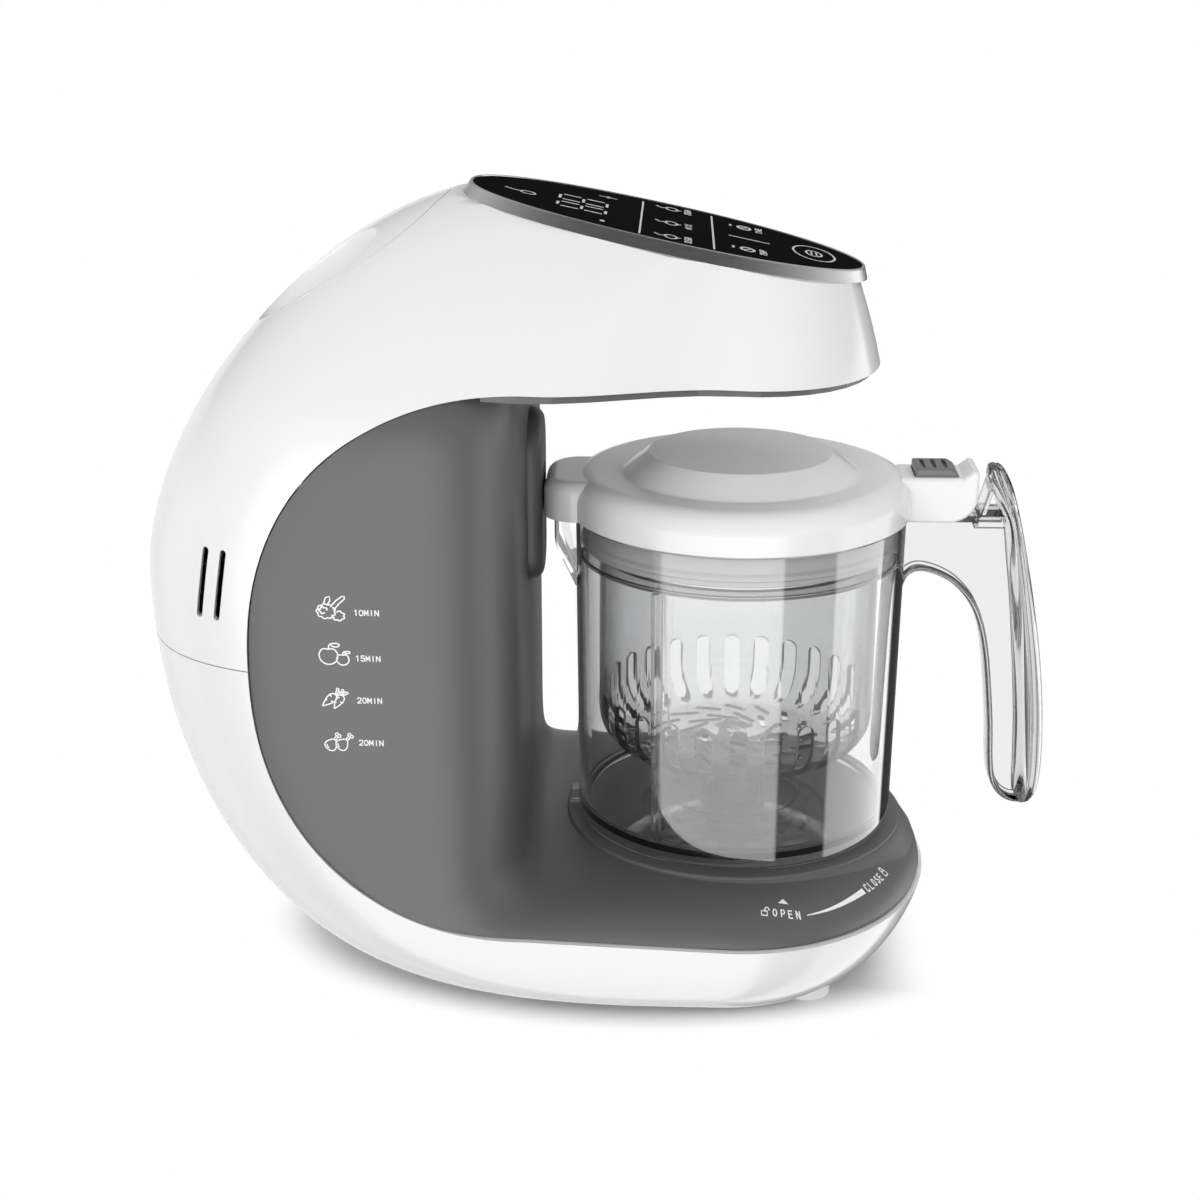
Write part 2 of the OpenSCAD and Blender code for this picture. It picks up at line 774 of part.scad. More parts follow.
// Plan of a loop round both pulleys, g outside their seats.
module belt_plan(g) {
    ra = small_pulley_r + g;
    rb = large_pulley_r + g;
    lean = asin((rb - ra) / motor_x);
    polygon(concat(
        [for (k = [0:belt_steps]) let(a = -90 - lean + (180 + 2 * lean) * k / belt_steps)
            [rb * cos(a), rb * sin(a)]],
        [for (k = [0:belt_steps]) let(a = 90 + lean + (180 - 2 * lean) * k / belt_steps)
            [-motor_x + ra * cos(a), ra * sin(a)]]));
}
module drive_belt() {
    color(rubber) placed() translate([0, 0, pulley_z + (pulley_w - belt_w) / 2])
        linear_extrude(belt_w) difference() {
            belt_plan(belt_t);
            belt_plan(0);
        }
}
module driven_pulley() {
    color(dark) placed() translate([0, 0, pulley_z]) difference() {
        pulley(large_pulley_r);
        translate([0, 0, -1]) cylinder(r = shaft_r, h = pulley_w + 2);
    }
}
shaft_low = base_z + wall + 0.5;
module drive_shaft() {
    color(steel) placed() translate([0, 0, shaft_low]) cylinder(r = shaft_r, h = well_z + 1 - shaft_low);
}
module bearing_at(z) {
    translate([0, 0, z]) ring_solid(bearing_r, shaft_r + run_gap, bearing_h);
}
module upper_bearing() {
    color(steel) placed() bearing_at(bearing_z);
}
lower_bearing_z = base_z + wall;
module lower_bearing() {
    color(steel) placed() bearing_at(lower_bearing_z);
}
module bearing_holder() {
    h = well_z - wall - bearing_z;
    color(grey) placed() translate([0, 0, bearing_z]) difference() {
        cylinder(r = bearing_r + holder_wall, h = h);
        translate([0, 0, -1]) cylinder(r = bearing_r, h = bearing_h + 1);
        cylinder(r = shaft_r + 1, h = h + 1);
    }
}
module drive_coupling() {
    color(dark) placed() translate([0, 0, well_z + coupling_gap]) difference() {
        union() {
            cylinder(r = coupling_r, h = coupling_t);
            translate([0, 0, coupling_t - eps]) dogs(dog_h);
        }
        translate([0, 0, -1]) cylinder(r = shaft_r, h = 2 - coupling_gap);
    }
}
// Ring in the well with keepers that hold the collar's lugs down.
module bayonet_ring() {
    keep_z = collar_z + lug_t + fit_gap;
    color(grey) placed() translate([0, 0, well_z]) {
        ring_solid(well_r - 0.1, collar_r + lug_reach + fit_gap, keep_z + keeper_t - well_z);
        for (i = [0:lug_count - 1]) rotate([0, 0, 120 * i])
            translate([0, 0, keep_z - well_z])
                ring_sector(well_r - 1, collar_r + fit_gap, keeper_t, lug_angle);
    }
}

cover_t = wall;
// Plan of the cover that closes the bottom of the base, drawn in by i.
module cover_plan(i) {
    r = cover_r - i;
    xs = [cover_front - cover_r, cover_r - cover_back];
    y = cover_half - cover_r;
    polygon([for (q = [0:3]) for (k = [0:10]) let(a = 90 * q + 9 * k)
        [(q == 0 || q == 3 ? xs[0] : xs[1]) + r * cos(a), (q < 2 ? y : -y) + r * sin(a)]]);
}
// Distances of the screws inside the cover's rear, front and side edges.
screw_in = [28, 20, 14];
screw_rear = cover_back - screw_in[0];
screw_front = cover_front - screw_in[1];
screw_side = cover_half - screw_in[2];
screw_places = [for (x = [-screw_rear, screw_front]) for (s = [-1, 1]) [x, s * screw_side]];
screw_len = 12;
screw_r = 1.6;
head_r = 3.2;
head_h = 1.4;
screw_gap = 0.2;
module bottom_cover() {
    color(grey) placed() difference() {
        union() {
            translate([0, 0, base_z]) linear_extrude(cover_t) cover_plan(0);
            translate([0, 0, base_z]) cylinder(r = bearing_r + holder_wall, h = cover_t + bearing_h - 1);
            for (p = screw_places) translate([p[0], p[1], base_z])
                cylinder(r = head_r + 1, h = 2 * cover_t);
        }
        translate([0, 0, lower_bearing_z]) cylinder(r = bearing_r, h = far);
        for (p = screw_places) translate([p[0], p[1], base_z - 1]) {
            cylinder(r = head_r + screw_gap, h = 1 + head_h + 2 * screw_gap);
            cylinder(r = screw_r + screw_gap, h = far);
        }
    }
}
module cover_screws() {
    color(steel) placed() for (p = screw_places) translate([p[0], p[1], base_z + screw_gap]) {
        cylinder(r = head_r, h = head_h);
        cylinder(r = screw_r, h = screw_len);
    }
}
// Bush through the rear wall, with a flange behind the sloping wall.
module cord_inlet() {
    out_x = rear_x(inlet_z) - 1;
    flange_x = rear_x(inlet_z - inlet_r - inlet_flange) + 1.6 * wall;
    depth = flange_x - out_x;
    color(rubber) placed() translate([out_x, 0, inlet_z]) rotate([0, 90, 0]) difference() {
        union() {
            cylinder(r = inlet_r, h = depth + inlet_flange);
            translate([0, 0, depth]) cylinder(r = inlet_r + inlet_flange, h = inlet_flange);
        }
        translate([0, 0, -1]) cylinder(r = inlet_r - inlet_wall, h = depth + inlet_flange + 2);
    }
}
module foot_at(x, y) {
    color(white) placed() translate([x, y, 0]) cylinder(r = foot_r, h = foot_h);
}
module foot_front_left() {
    foot_at(foot_front, foot_side);
}
module foot_front_right() {
    foot_at(foot_front, -foot_side);
}
module foot_rear_left() {
    foot_at(-foot_back, foot_side);
}
module foot_rear_right() {
    foot_at(-foot_back, -foot_side);
}

// Outer radius of the jar at a height.
function jar_r(z) = jar_low_r + (jar_top_r - jar_low_r) * (z - jar_z) / (lid_z - jar_z);
rib_count = 3;
rib_turn = 1;
rib_r = 3;
rib_w = 2;
rib_top = basket_rim_z - basket_wall - fit_gap;
spout_half = 13;
spout_h = 24;
channel_z = lid_z - spout_h + 6;
rim_r = lid_r - lid_wall - fit_gap;
bore_low_r = jar_low_r - jar_wall;
bore_top_r = jar_top_r - jar_wall;
shoulder_z = lid_z - fit_gap;
module jar() {
    color(clear) placed() difference() {
        union() {
            rotate_extrude() polygon([[bore_low_r - 1, jar_z], [jar_low_r, jar_z], [jar_top_r, shoulder_z],
                [rim_r, shoulder_z], [rim_r, jar_rim_z], [bore_top_r, jar_rim_z], [bore_top_r, shoulder_z],
                [bore_low_r, floor_top], [neck_r + fit_gap, floor_top], [neck_r + fit_gap, floor_z],
                [bore_low_r - 1, floor_z]]);
            for (i = [1:rib_count]) rotate([0, 0, 360 * i / rib_count - rib_turn])
                translate([bore_low_r - rib_r, -rib_w / 2, floor_top - eps])
                    cube([rib_r + 0.8 * jar_wall, rib_w, rib_top - floor_top]);
            intersection() {
                along_y(2 * spout_half) polygon([[-jar_low_r, lid_z - spout_h], [-spout_x, lid_z - 1],
                    [-bore_low_r, lid_z - 1], [-bore_low_r, lid_z - spout_h]]);
                translate([0, 0, lid_z - far / 2]) ring_solid(spout_x, jar_low_r, far);
            }
        }
        along_y(2 * (spout_half - jar_wall)) polygon([[-jar_low_r - 1.5, channel_z],
            [-spout_x + jar_wall, lid_z], [-spout_x + jar_wall, jar_rim_z + 1],
            [-bore_low_r + jar_wall, jar_rim_z + 1], [-bore_low_r + jar_wall, channel_z]]);
    }
}

// Side view of the handle: a bar that leans out from the rim and hangs free.
bar_lean = 22;
arch_z = 130;
grip_top_x = handle_reach - bar_lean;
// Point on the handle's outer edge at a share of its height.
function grip_edge(f) = [handle_reach - bar_lean * pow(f, 2.2),
    handle_low + (handle_top - handle_low) * f];
grip_steps = 14;
module grip_profile(depth) {
    edge = [for (k = [0:grip_steps]) grip_edge(k / grip_steps)];
    polygon(concat(edge, [for (k = [grip_steps:-1:0]) edge[k] - [depth, 0]]));
}
arch_drop = 34;
arm_gap = 0.2;
bond_gap = 0.05;
root_x = jar_top_r - fit_gap;
web_top = lid_z - 3;
module handle_web_profile() {
    arch_run = handle_reach - handle_d - 2 - root_x;
    grip_profile(handle_d);
    polygon(concat(
        [[root_x, web_top], [root_x, arch_z]],
        [for (k = [1:8]) let(a = 90 * k / 8)
            [root_x + arch_run * sin(a), arch_z - arch_drop * (1 - cos(a))]],
        [[handle_reach - handle_d / 2, arch_z - arch_drop], [grip_top_x, web_top]]));
}
module jar_handle() {
    color(clear) placed() difference() {
        union() {
            along_y(handle_web) handle_web_profile();
            along_y(handle_w) grip_profile(handle_d / 2);
            translate([root_x, -handle_w / 2, arch_z + 1]) cube([3, handle_w, web_top - arch_z - 1]);
        }
        translate([0, 0, jar_z])
            cylinder(r1 = jar_low_r + bond_gap, r2 = jar_top_r + bond_gap, h = shoulder_z - jar_z);
        translate([0, -far / 2, web_top - arm_gap]) cube([arm_x + 2 * fit_gap, far, far]);
    }
}

collar_h = floor_z - collar_z;
collar_gap = 0.2;
module blade_collar() {
    color(clear) placed() difference() {
        union() {
            translate([0, 0, collar_z]) ring_solid(collar_r, coupling_r + 2, collar_h - collar_gap);
            translate([0, 0, floor_z - 1 - collar_gap])
                cylinder(r = neck_r, h = jar_floor + 1 + 2 * collar_gap);
            translate([0, 0, floor_top]) cylinder(r = bush_r + 3, h = bush_h);
            for (i = [0:lug_count - 1]) rotate([0, 0, 120 * i]) translate([0, 0, collar_z])
                ring_sector(collar_r + lug_reach, collar_r - 1, lug_t, lug_angle - 6);
        }
        translate([0, 0, collar_z - 1]) cylinder(r = bush_r, h = far);
    }
}
bush_z = floor_top - 2;
seal_t = 1.5;
module blade_bush() {
    color(steel) placed() translate([0, 0, bush_z]) ring_solid(bush_r, shaft_r + run_gap, bush_h + 2);
}
module shaft_seal() {
    color(rubber) placed() translate([0, 0, bush_z - seal_t])
        ring_solid(bush_r, shaft_r + run_gap, seal_t);
}
driver_z = well_z + 2 * coupling_gap + coupling_t + dog_h;
driver_floor = 0.5;
nut_h = 3.7;
nut_depth = 2.2;
module blade_shaft() {
    z = driver_z + driver_floor;
    color(steel) placed() translate([0, 0, z])
        cylinder(r = shaft_r, h = blade_z + blade_t + nut_depth - z);
}
module blade_hub() {
    color(steel) placed() translate([0, 0, blade_z - hub_h]) ring_solid(hub_r, shaft_r, hub_h);
}
tip_tilt = 8;
nut_r = shaft_r + 2.5;
wing_half = 6;
// Four sharpened wings, two of them rising towards their tips.
module blade() {
    span = blade_reach - nut_r;
    color(steel) placed() translate([0, 0, blade_z]) difference() {
        union() {
            cylinder(r = hub_r, h = blade_t);
            for (i = [0:3]) rotate([0, 0, 90 * i]) translate([nut_r, 0, 0])
                rotate([0, i % 2 == 0 ? -tip_tilt : 0, 0]) linear_extrude(blade_t) polygon([[0, -wing_half],
                    [span * 0.6, 1 - wing_half], [span, 2], [span * 0.5, wing_half - 1], [0, wing_half]]);
        }
        translate([0, 0, -1]) cylinder(r = shaft_r, h = far);
    }
}
module blade_nut() {
    color(steel) placed() translate([0, 0, blade_z + blade_t]) difference() {
        cylinder(r1 = nut_r, r2 = nut_r - 1, h = nut_h);
        translate([0, 0, -1]) cylinder(r = shaft_r, h = 1 + nut_depth);
    }
}
module jar_coupling() {
    color(dark) placed() translate([0, 0, driver_z]) difference() {
        union() {
            cylinder(r = coupling_r, h = coupling_t);
            rotate([0, 0, 90]) translate([0, 0, -dog_h]) dogs(dog_h + eps);
        }
        translate([0, 0, driver_floor]) cylinder(r = shaft_r, h = far);
    }
}

// Slots follow the wall and turn in under the floor's rounded corner.
corner_r = 15;
slot_low = basket_z + corner_r / 7.5;
swirl_rows = 2;
swirl_slots = 16;
swirl_r = 14;
swirl_len = 9;
swirl_w = 2;
swirl_turn = 50;
module basket_shell() {
    r = basket_r;
    w = basket_wall;
    rim = jar_r(basket_rim_z) - jar_wall - 2 * fit_gap;
    rotate_extrude() {
        polygon([[0, basket_z + basket_rise], [r - corner_r, basket_z], [r - corner_r, basket_z + w],
            [0, basket_z + basket_rise + w]]);
        translate([r - w, basket_z + corner_r]) square([w, basket_rim_z - basket_z - corner_r]);
        translate([r - corner_r, basket_z + corner_r]) intersection() {
            difference() {
                circle(r = corner_r);
                circle(r = corner_r - w);
            }
            translate([0, -corner_r]) square(corner_r);
        }
        translate([r - w, basket_rim_z - w]) square([rim - r + w, w]);
    }
}
module steam_basket() {
    color(clear) placed() difference() {
        basket_shell();
        for (i = [0:basket_slots - 1]) rotate([0, 0, 360 * (i + 0.5) / basket_slots]) {
            translate([basket_r - corner_r, -slot_w / 2, slot_low])
                cube([2 * corner_r, slot_w, slot_h - slot_w / 2]);
            translate([basket_r - corner_r, 0, slot_low + slot_h - slot_w / 2])
                rotate([0, 90, 0]) cylinder(d = slot_w, h = 2 * corner_r);
        }
        for (k = [1:swirl_rows]) for (i = [0:swirl_slots - 1])
            rotate([0, 0, 360 * (i + k / 2) / swirl_slots]) translate([swirl_r * k, 0, basket_z])
                rotate([0, 0, swirl_turn])
                    cube([swirl_len, swirl_w, 3 * basket_wall + 2 * basket_rise], center = true);
    }
}

// Half section of the lid, t below its surface: rim, flat ring, concave flank and raised middle.
dome_round = 1.2;
function lid_profile(t) = let(
    top = lid_top - t,
    r = dome_r - t * 0.6,
    f = dome_flank,
    e = lid_round,
    d = dome_round)
    concat(
        [for (k = [0:5]) let(a = 90 * k / 5) [lid_r - t - e + e * cos(a), top - e + e * sin(a)]],
        [for (k = [0:5]) let(a = 90 * k / 5) [r + f - f * sin(a), top + (dome_h - d) * (1 - cos(a))]],
        [for (k = [0:3]) let(a = 90 * k / 3) [r - d + d * cos(a) - eps, top + dome_h - d + d * sin(a)]],
        [[0, top + dome_h]]);
module lid_body(t, low) {
    rotate_extrude() polygon(concat([[0, low], [lid_r - t, low]], lid_profile(t)));
}
tab_drop = 2;
// Plan of the steam tab, drawn in by i.
module tab_plan(i) {
    intersection() {
        circle(r = tab_x - i);
        translate([-tab_x, -tab_half + i]) square([tab_x / 2, 2 * (tab_half - i)]);
    }
}
arm_corner = 9;
arm_low = lid_z - 2;
arm_top = lid_top - 0.4;
arm_root = lid_r - 5;
lip_up = 2.4;
lip_len = 5;
// Side view of the latch arm: round under its tip, with a lip that rises past the button.
module arm_profile(i) {
    x1 = arm_x - i;
    z0 = arm_low + i;
    r = arm_corner - i;
    polygon(concat(
        [[arm_root, z0]],
        [for (k = [0:6]) let(a = -90 + 90 * k / 6) [x1 - r + r * cos(a), z0 + r + r * sin(a)]],
        i > 0 ? [[x1, arm_top - i], [arm_root, arm_top - i]]
        : [[x1, arm_top + lip_up], [x1 - lid_wall, arm_top + lip_up], [x1 - lip_len, arm_top],
            [arm_root, arm_top]]));
}
button_len = 14;
button_half = arm_half - lid_wall - fit_gap;
button_from = lid_r + fit_gap;
button_low = arm_top - lid_wall - 2;
module lid() {
    color(white) placed() difference() {
        union() {
            lid_body(0, lid_z);
            translate([0, 0, lid_z]) linear_extrude(lid_h - tab_drop) tab_plan(0);
            difference() {
                along_y(2 * arm_half) arm_profile(0);
                along_y(2 * (arm_half - lid_wall)) arm_profile(lid_wall);
                translate([lid_r, lid_wall - arm_half, arm_top - 2 * lid_wall])
                    cube([button_len + 2 * fit_gap, 2 * (arm_half - lid_wall), far]);
            }
        }
        lid_body(lid_wall, lid_z - 1);
        translate([0, 0, arm_low - 1]) cylinder(r = jar_top_r + fit_gap, h = lid_z - arm_low + 1);
        translate([0, 0, lid_z - 1]) linear_extrude(lid_h - tab_drop - lid_wall + 1) tab_plan(lid_wall);
        translate([-tab_x, 0, steam_z]) rotate([0, 90, 0])
            cylinder(r = steam_r, h = 6 * lid_wall, center = true);
    }
}
// Soft ring that hangs from the lid into the jar's mouth, with a lip near its end.
seal_lip = bore_top_r - 1.5 * fit_gap;
seal_out = seal_lip - 1.2;
seal_in = seal_out - 2.4;
module lid_seal() {
    color(rubber) placed() difference() {
        union() {
            translate([0, 0, lid_z - seal_h]) ring_solid(seal_out, seal_in, seal_h + lid_h - lid_wall);
            translate([0, 0, lid_z - seal_h + 2]) ring_solid(seal_lip, seal_in, 2.5);
        }
        translate([-seal_out, 0, steam_z]) rotate([0, 90, 0])
            cylinder(r = steam_r, h = 6 * lid_wall, center = true);
    }
}
button_up = button_travel + 0.2;
toe_len = 1.6;
toe_t = 1.5;
groove_w = 1.3;
groove_d = 1;
groove_step = 3.6;
// Block in the top of the latch arm, with a toe that keeps it under the arm's tip.
module lid_button() {
    h = arm_top + button_up - button_low;
    mid = button_from + button_len / 2;
    color(grey) placed() {
        difference() {
            translate([button_from, -button_half, button_low]) cube([button_len, 2 * button_half, h]);
            for (i = [-1:1]) translate([mid + groove_step * i, 0, button_low + h])
                cube([groove_w, 1.4 * button_half, 2 * groove_d], center = true);
        }
        translate([button_from + button_len - eps, -button_half, button_low])
            cube([toe_len, 2 * button_half, toe_t]);
    }
}
spring_mean = 3.2;
spring_wire = 0.4;
spring_turns = 4;
spring_sides = 6;
spring_rings = 8;
// Coil inside the arm, one unbroken tube that stands on its floor and carries the button.
module button_spring() {
    low = arm_low + lid_wall + spring_wire + bond_gap;
    rise = button_low - spring_wire - bond_gap - low;
    n = spring_turns * spring_rings;
    points = [for (i = [0:n]) let(a = 360 * i / spring_rings, z = low + rise * i / n)
        for (j = [0:spring_sides - 1]) let(b = 360 * j / spring_sides, r = spring_mean + spring_wire * cos(b))
            [r * cos(a), r * sin(a), z + spring_wire * sin(b)]];
    sides = [for (i = [0:n - 1]) for (j = [0:spring_sides - 1])
        let(k = (j + 1) % spring_sides, a = i * spring_sides, b = a + spring_sides)
        each [[a + j, a + k, b + k], [a + j, b + k, b + j]]];
    start = [for (j = [spring_sides - 1:-1:0]) j];
    end = [for (j = [0:spring_sides - 1]) n * spring_sides + j];
    color(steel) placed() translate([button_from + button_len / 2, 0, 0])
        polyhedron(points, concat(sides, [start, end]));
}

upper_shell();
lower_shell();
inner_housing();
head_cover();
panel_bezel();
touch_panel();
display_module();
control_board();
tank_lid();
water_tank();
tank_tube();
water_pump();
feed_tube();
boiler();
thermostat();
steam_tube();
steam_outlet();
outlet_seal();
power_board();
motor_shelf();
motor();
motor_pulley();
drive_belt();
driven_pulley();
drive_shaft();
upper_bearing();
lower_bearing();
bearing_holder();
drive_coupling();
bayonet_ring();
bottom_cover();
cover_screws();
cord_inlet();
foot_front_left();
foot_front_right();
foot_rear_left();
foot_rear_right();
jar();
jar_handle();
blade_collar();
blade_bush();
shaft_seal();
blade_shaft();
blade_hub();
blade();
blade_nut();
jar_coupling();
steam_basket();
lid();
lid_seal();
lid_button();
button_spring();
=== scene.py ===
"""Finished model of a countertop steamer and blender for baby food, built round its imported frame."""

import json
import math

import bmesh
import bpy
from bpy.props import FloatProperty, FloatVectorProperty, PointerProperty
from mathutils import Matrix, Vector
from mathutils.bvhtree import BVHTree


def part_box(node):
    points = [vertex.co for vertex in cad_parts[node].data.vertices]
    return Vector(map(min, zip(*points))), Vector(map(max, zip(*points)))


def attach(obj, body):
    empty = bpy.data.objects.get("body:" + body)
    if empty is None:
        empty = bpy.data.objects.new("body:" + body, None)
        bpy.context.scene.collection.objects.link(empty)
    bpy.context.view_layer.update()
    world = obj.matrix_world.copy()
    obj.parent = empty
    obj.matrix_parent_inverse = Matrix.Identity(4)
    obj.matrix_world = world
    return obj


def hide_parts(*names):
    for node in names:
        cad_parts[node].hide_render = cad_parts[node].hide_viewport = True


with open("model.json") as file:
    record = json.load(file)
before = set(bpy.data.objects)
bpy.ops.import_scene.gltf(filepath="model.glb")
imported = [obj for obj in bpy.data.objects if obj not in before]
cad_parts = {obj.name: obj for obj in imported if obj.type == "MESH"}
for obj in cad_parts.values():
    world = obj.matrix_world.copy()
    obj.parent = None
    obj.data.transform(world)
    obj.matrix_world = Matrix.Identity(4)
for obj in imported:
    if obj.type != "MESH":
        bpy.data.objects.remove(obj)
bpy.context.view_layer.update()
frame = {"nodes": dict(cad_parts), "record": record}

bl_info = {
    "name": "Steamer blender",
    "version": (1, 0, 0),
    "blender": (4, 5, 0),
    "location": "View3D > Sidebar > Steamer",
    "description": "Builds the pieces, finishes and stage of a steamer and blender for baby food",
    "category": "Object",
}

SHAFT_LOW, SHAFT_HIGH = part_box("drive_shaft")
# Shapes are drawn in millimetres round the jar's axis and then placed in the frame.
PLACE = Matrix.Translation(((SHAFT_LOW.x + SHAFT_HIGH.x) / 2, 0, 0)) @ Matrix.Scale(0.001, 4)
# A length past every piece, the distance at which points merge, and the angle of a sharp edge.
FAR, MERGE, SHARP = 400.0, 0.001, 32.0


def length(name, description, millimetres):
    return FloatProperty(name=name, description=description, default=millimetres / 1000, unit="LENGTH")


def colour(name, description, *rgb):
    return FloatVectorProperty(name=name, description=description, default=rgb, size=3, min=0, max=1,
                               subtype="COLOR")


class BodySizes(bpy.types.PropertyGroup):
    wall: length("Wall", "Thickness of the moulded shells", 2.5)
    seam: length("Seam", "Height of the joint between the shells", 120.5)
    gap: length("Gap", "Gap between mouldings that meet", 0.4)
    column: length("Column", "Distance of the column's front behind the jar's axis", 70)
    column_corner: length("Column corner", "Radius of the column's front corners", 26)
    deck: length("Deck", "Height of the deck round the jar", 43)
    shoulder: length("Shoulder", "Width of the deck's sloping shoulder", 27)
    seat: length("Seat", "Radius of the round seat under the jar", 58)
    seat_height: length("Seat height", "Height of the round seat", 44)
    tank_lid: length("Tank lid", "Radius of the tank's lid", 35.3)
    tank_back: length("Tank place", "Distance of the tank's lid behind the jar's axis", 130)
    vent: length("Vent length", "Length of a vent slot", 23)
    vent_width: length("Vent width", "Width of a vent slot", 2)
    bezel: length("Bezel height", "Height of the metal ring round the panel", 3.8)
    bezel_width: length("Bezel width", "Width of the metal ring round the panel", 2.6)
    glass_drop: length("Glass drop", "Depth of the panel's glass below its ring", 0.25)


class JarSizes(bpy.types.PropertyGroup):
    foot: length("Foot", "Radius of the jar at its foot", 54.2)
    top: length("Top", "Radius of the jar under the lid", 55.6)
    wall: length("Wall", "Thickness of the jar", 2.2)
    bottom: length("Bottom", "Height of the jar's foot", 44.3)
    spout: length("Spout", "Reach of the pouring spout", 62)
    web: length("Handle web", "Thickness of the handle's web", 8)
    basket: length("Basket", "Radius of the steam basket", 47)
    basket_low: length("Basket height", "Height of the underside of the steam basket", 68.5)
    basket_wall: length("Basket wall", "Thickness of the steam basket", 1.8)
    slot: length("Basket slot", "Width of a slot in the basket", 5.6)


class LidSizes(bpy.types.PropertyGroup):
    low: length("Edge", "Height of the lid's lower edge", 152.4)
    rim: length("Rim", "Height of the lid's rim", 13.6)
    radius: length("Radius", "Radius of the lid", 57)
    wall: length("Wall", "Thickness of the lid", 2)
    middle: length("Middle", "Radius of the raised middle", 31)
    rise: length("Rise", "Height of the raised middle above the rim", 6.2)
    flank: length("Flank", "Width of the raised middle's sloping flank", 8.4)
    dish: length("Dish", "Depth of the lid's shoulder at the flank's foot", 0.6)
    edge_round: length("Edge rounding", "Rounding of the rim's upper edge", 8)
    tab: length("Tab", "Half width of the steam tab", 20)
    arm: length("Arm", "Half width of the latch arm", 9.5)
    arm_reach: length("Arm reach", "Reach of the latch arm", 78)


class Finishes(bpy.types.PropertyGroup):
    white: colour("White", "Glossy white plastic", 0.80, 0.80, 0.795)
    grey: colour("Grey", "Satin grey plastic", 0.099, 0.099, 0.099)
    metal: colour("Metal", "Brushed ring round the panel", 0.60, 0.60, 0.60)
    glass_black: colour("Panel", "Black panel", 0.0075, 0.0075, 0.0075)
    dark: colour("Dark plastic", "Dark inner plastic", 0.035, 0.035, 0.037)
    board: colour("Board", "Circuit board", 0.02, 0.13, 0.055)
    clear: colour("Clear", "Clear plastic", 0.94, 0.943, 0.946)
    grip: colour("Grip", "Clear plastic of the thick handle", 0.77, 0.77, 0.775)
    tube: colour("Tube", "Clear soft tube", 0.86, 0.87, 0.87)
    steel: colour("Steel", "Plain steel", 0.55, 0.55, 0.56)
    rubber: colour("Rubber", "Soft rubber", 0.055, 0.055, 0.057)
    foot: colour("Feet", "White rubber of the feet", 0.74, 0.74, 0.73)
    silicone: colour("Silicone", "Grey silicone of the lid's seal", 0.60, 0.60, 0.60)
    button: colour("Button", "Grey plastic of the release button", 0.15, 0.15, 0.15)
    print: colour("Print", "White printed marks", 0.86, 0.86, 0.86)
    panel_print: colour("Panel print", "Printed signs of the panel", 0.52, 0.52, 0.52)
    # Painted shade: a dark base colour for the faces inside the clear basket's slots, standing in for their
    # darkness.
    painted_slot_shade: colour("Painted slot shade", "Painted shade on the faces inside the clear basket's slots", 0.08, 0.08, 0.08)
    floor: colour("Floor", "Pale floor", 0.64, 0.64, 0.64)


class Millimetres:
    """Reads the sizes of one group in millimetres."""

    def __init__(self, group):
        self.group = group

    def __getattr__(self, name):
        return 1000 * getattr(getattr(bpy.context.scene, self.group), name)


BODY, JAR, LID = Millimetres("steamer_body"), Millimetres("steamer_jar"), Millimetres("steamer_lid")

# Curves of the body: its heights, its rear, and the heights of the steam's way and the jar's rim.
BASE_Z, EDGE_Z, BACK_Z, HEAD_Z, CROWN_Z, TOP_Z = 3.0, 33.0, 140.0, 198.0, 262.0, 260.0
BACK_X, REAR_LEN, REAR_ROUND = -194.0, 98.0, 2.9
REAR_TOP_RUN, REAR_TOP_ROUND, REAR_LOW_RUN, REAR_LOW_ROUND = 116.0, 1.67, 104.0, 2.2
STEAM_Z, RIM_Z = 159.4, 161.0
# Widths and reach: value between edge and head, then least value, growth and roundness below and above.
FLANK_HALF = (83.0, (62.5, 20.5, 2.8), (20.0, 63.0, 1.2))
NOSE_HALF = (83.0, (62.5, 20.5, 2.8), (18.0, 40.0, 1.33))
NOSE_REACH = (67.5, (47.5, 20.0, 1.6), (21.4, 23.9, 1.24))
NOSE_ROOT, NOSE_ROOT_HEAD = -5.0, -4.0
# Steps along the outline, and up the body with their crowding.
REAR_STEPS, FLANK_STEPS, NOSE_STEPS = 34, 14, 34
EDGE_STEPS, SIDE_STEPS, BACK_STEPS, HEAD_STEPS, EDGE_CROWD, HEAD_CROWD = 14, 14, 8, 26, 1.6, 1.4
HEAD_SKIP, TOP_SKIP, LEVEL_GAP = 0.05, 0.3, 0.4


def quarter(u, n):
    """A quarter of a rounded square, from 1 down to 0."""
    return max(0.0, 1 - min(1.0, max(0.0, u)) ** n) ** (1 / n)


def ease(t):
    return t * t * (3 - 2 * t)


def rear_x(z):
    if z >= BACK_Z:
        return BACK_X + REAR_TOP_RUN * (1 - quarter((z - BACK_Z) / (TOP_Z - BACK_Z), REAR_TOP_ROUND))
    return BACK_X + REAR_LOW_RUN * (1 - quarter((BACK_Z - z) / (BACK_Z - BASE_Z), REAR_LOW_ROUND))


def rear_z(x):
    return BACK_Z + (TOP_Z - BACK_Z) * quarter(1 - (x - BACK_X) / REAR_TOP_RUN, REAR_TOP_ROUND)


def girth(z, curve):
    """A width or reach of the body at a height."""
    middle, low, high = curve
    if z < EDGE_Z:
        least, growth, roundness = low
        return least + growth * quarter((EDGE_Z - z) / (EDGE_Z - BASE_Z), roundness)
    if z > HEAD_Z:
        least, growth, roundness = high
        return least + growth * quarter((z - HEAD_Z) / (CROWN_Z - HEAD_Z), roundness)
    return middle


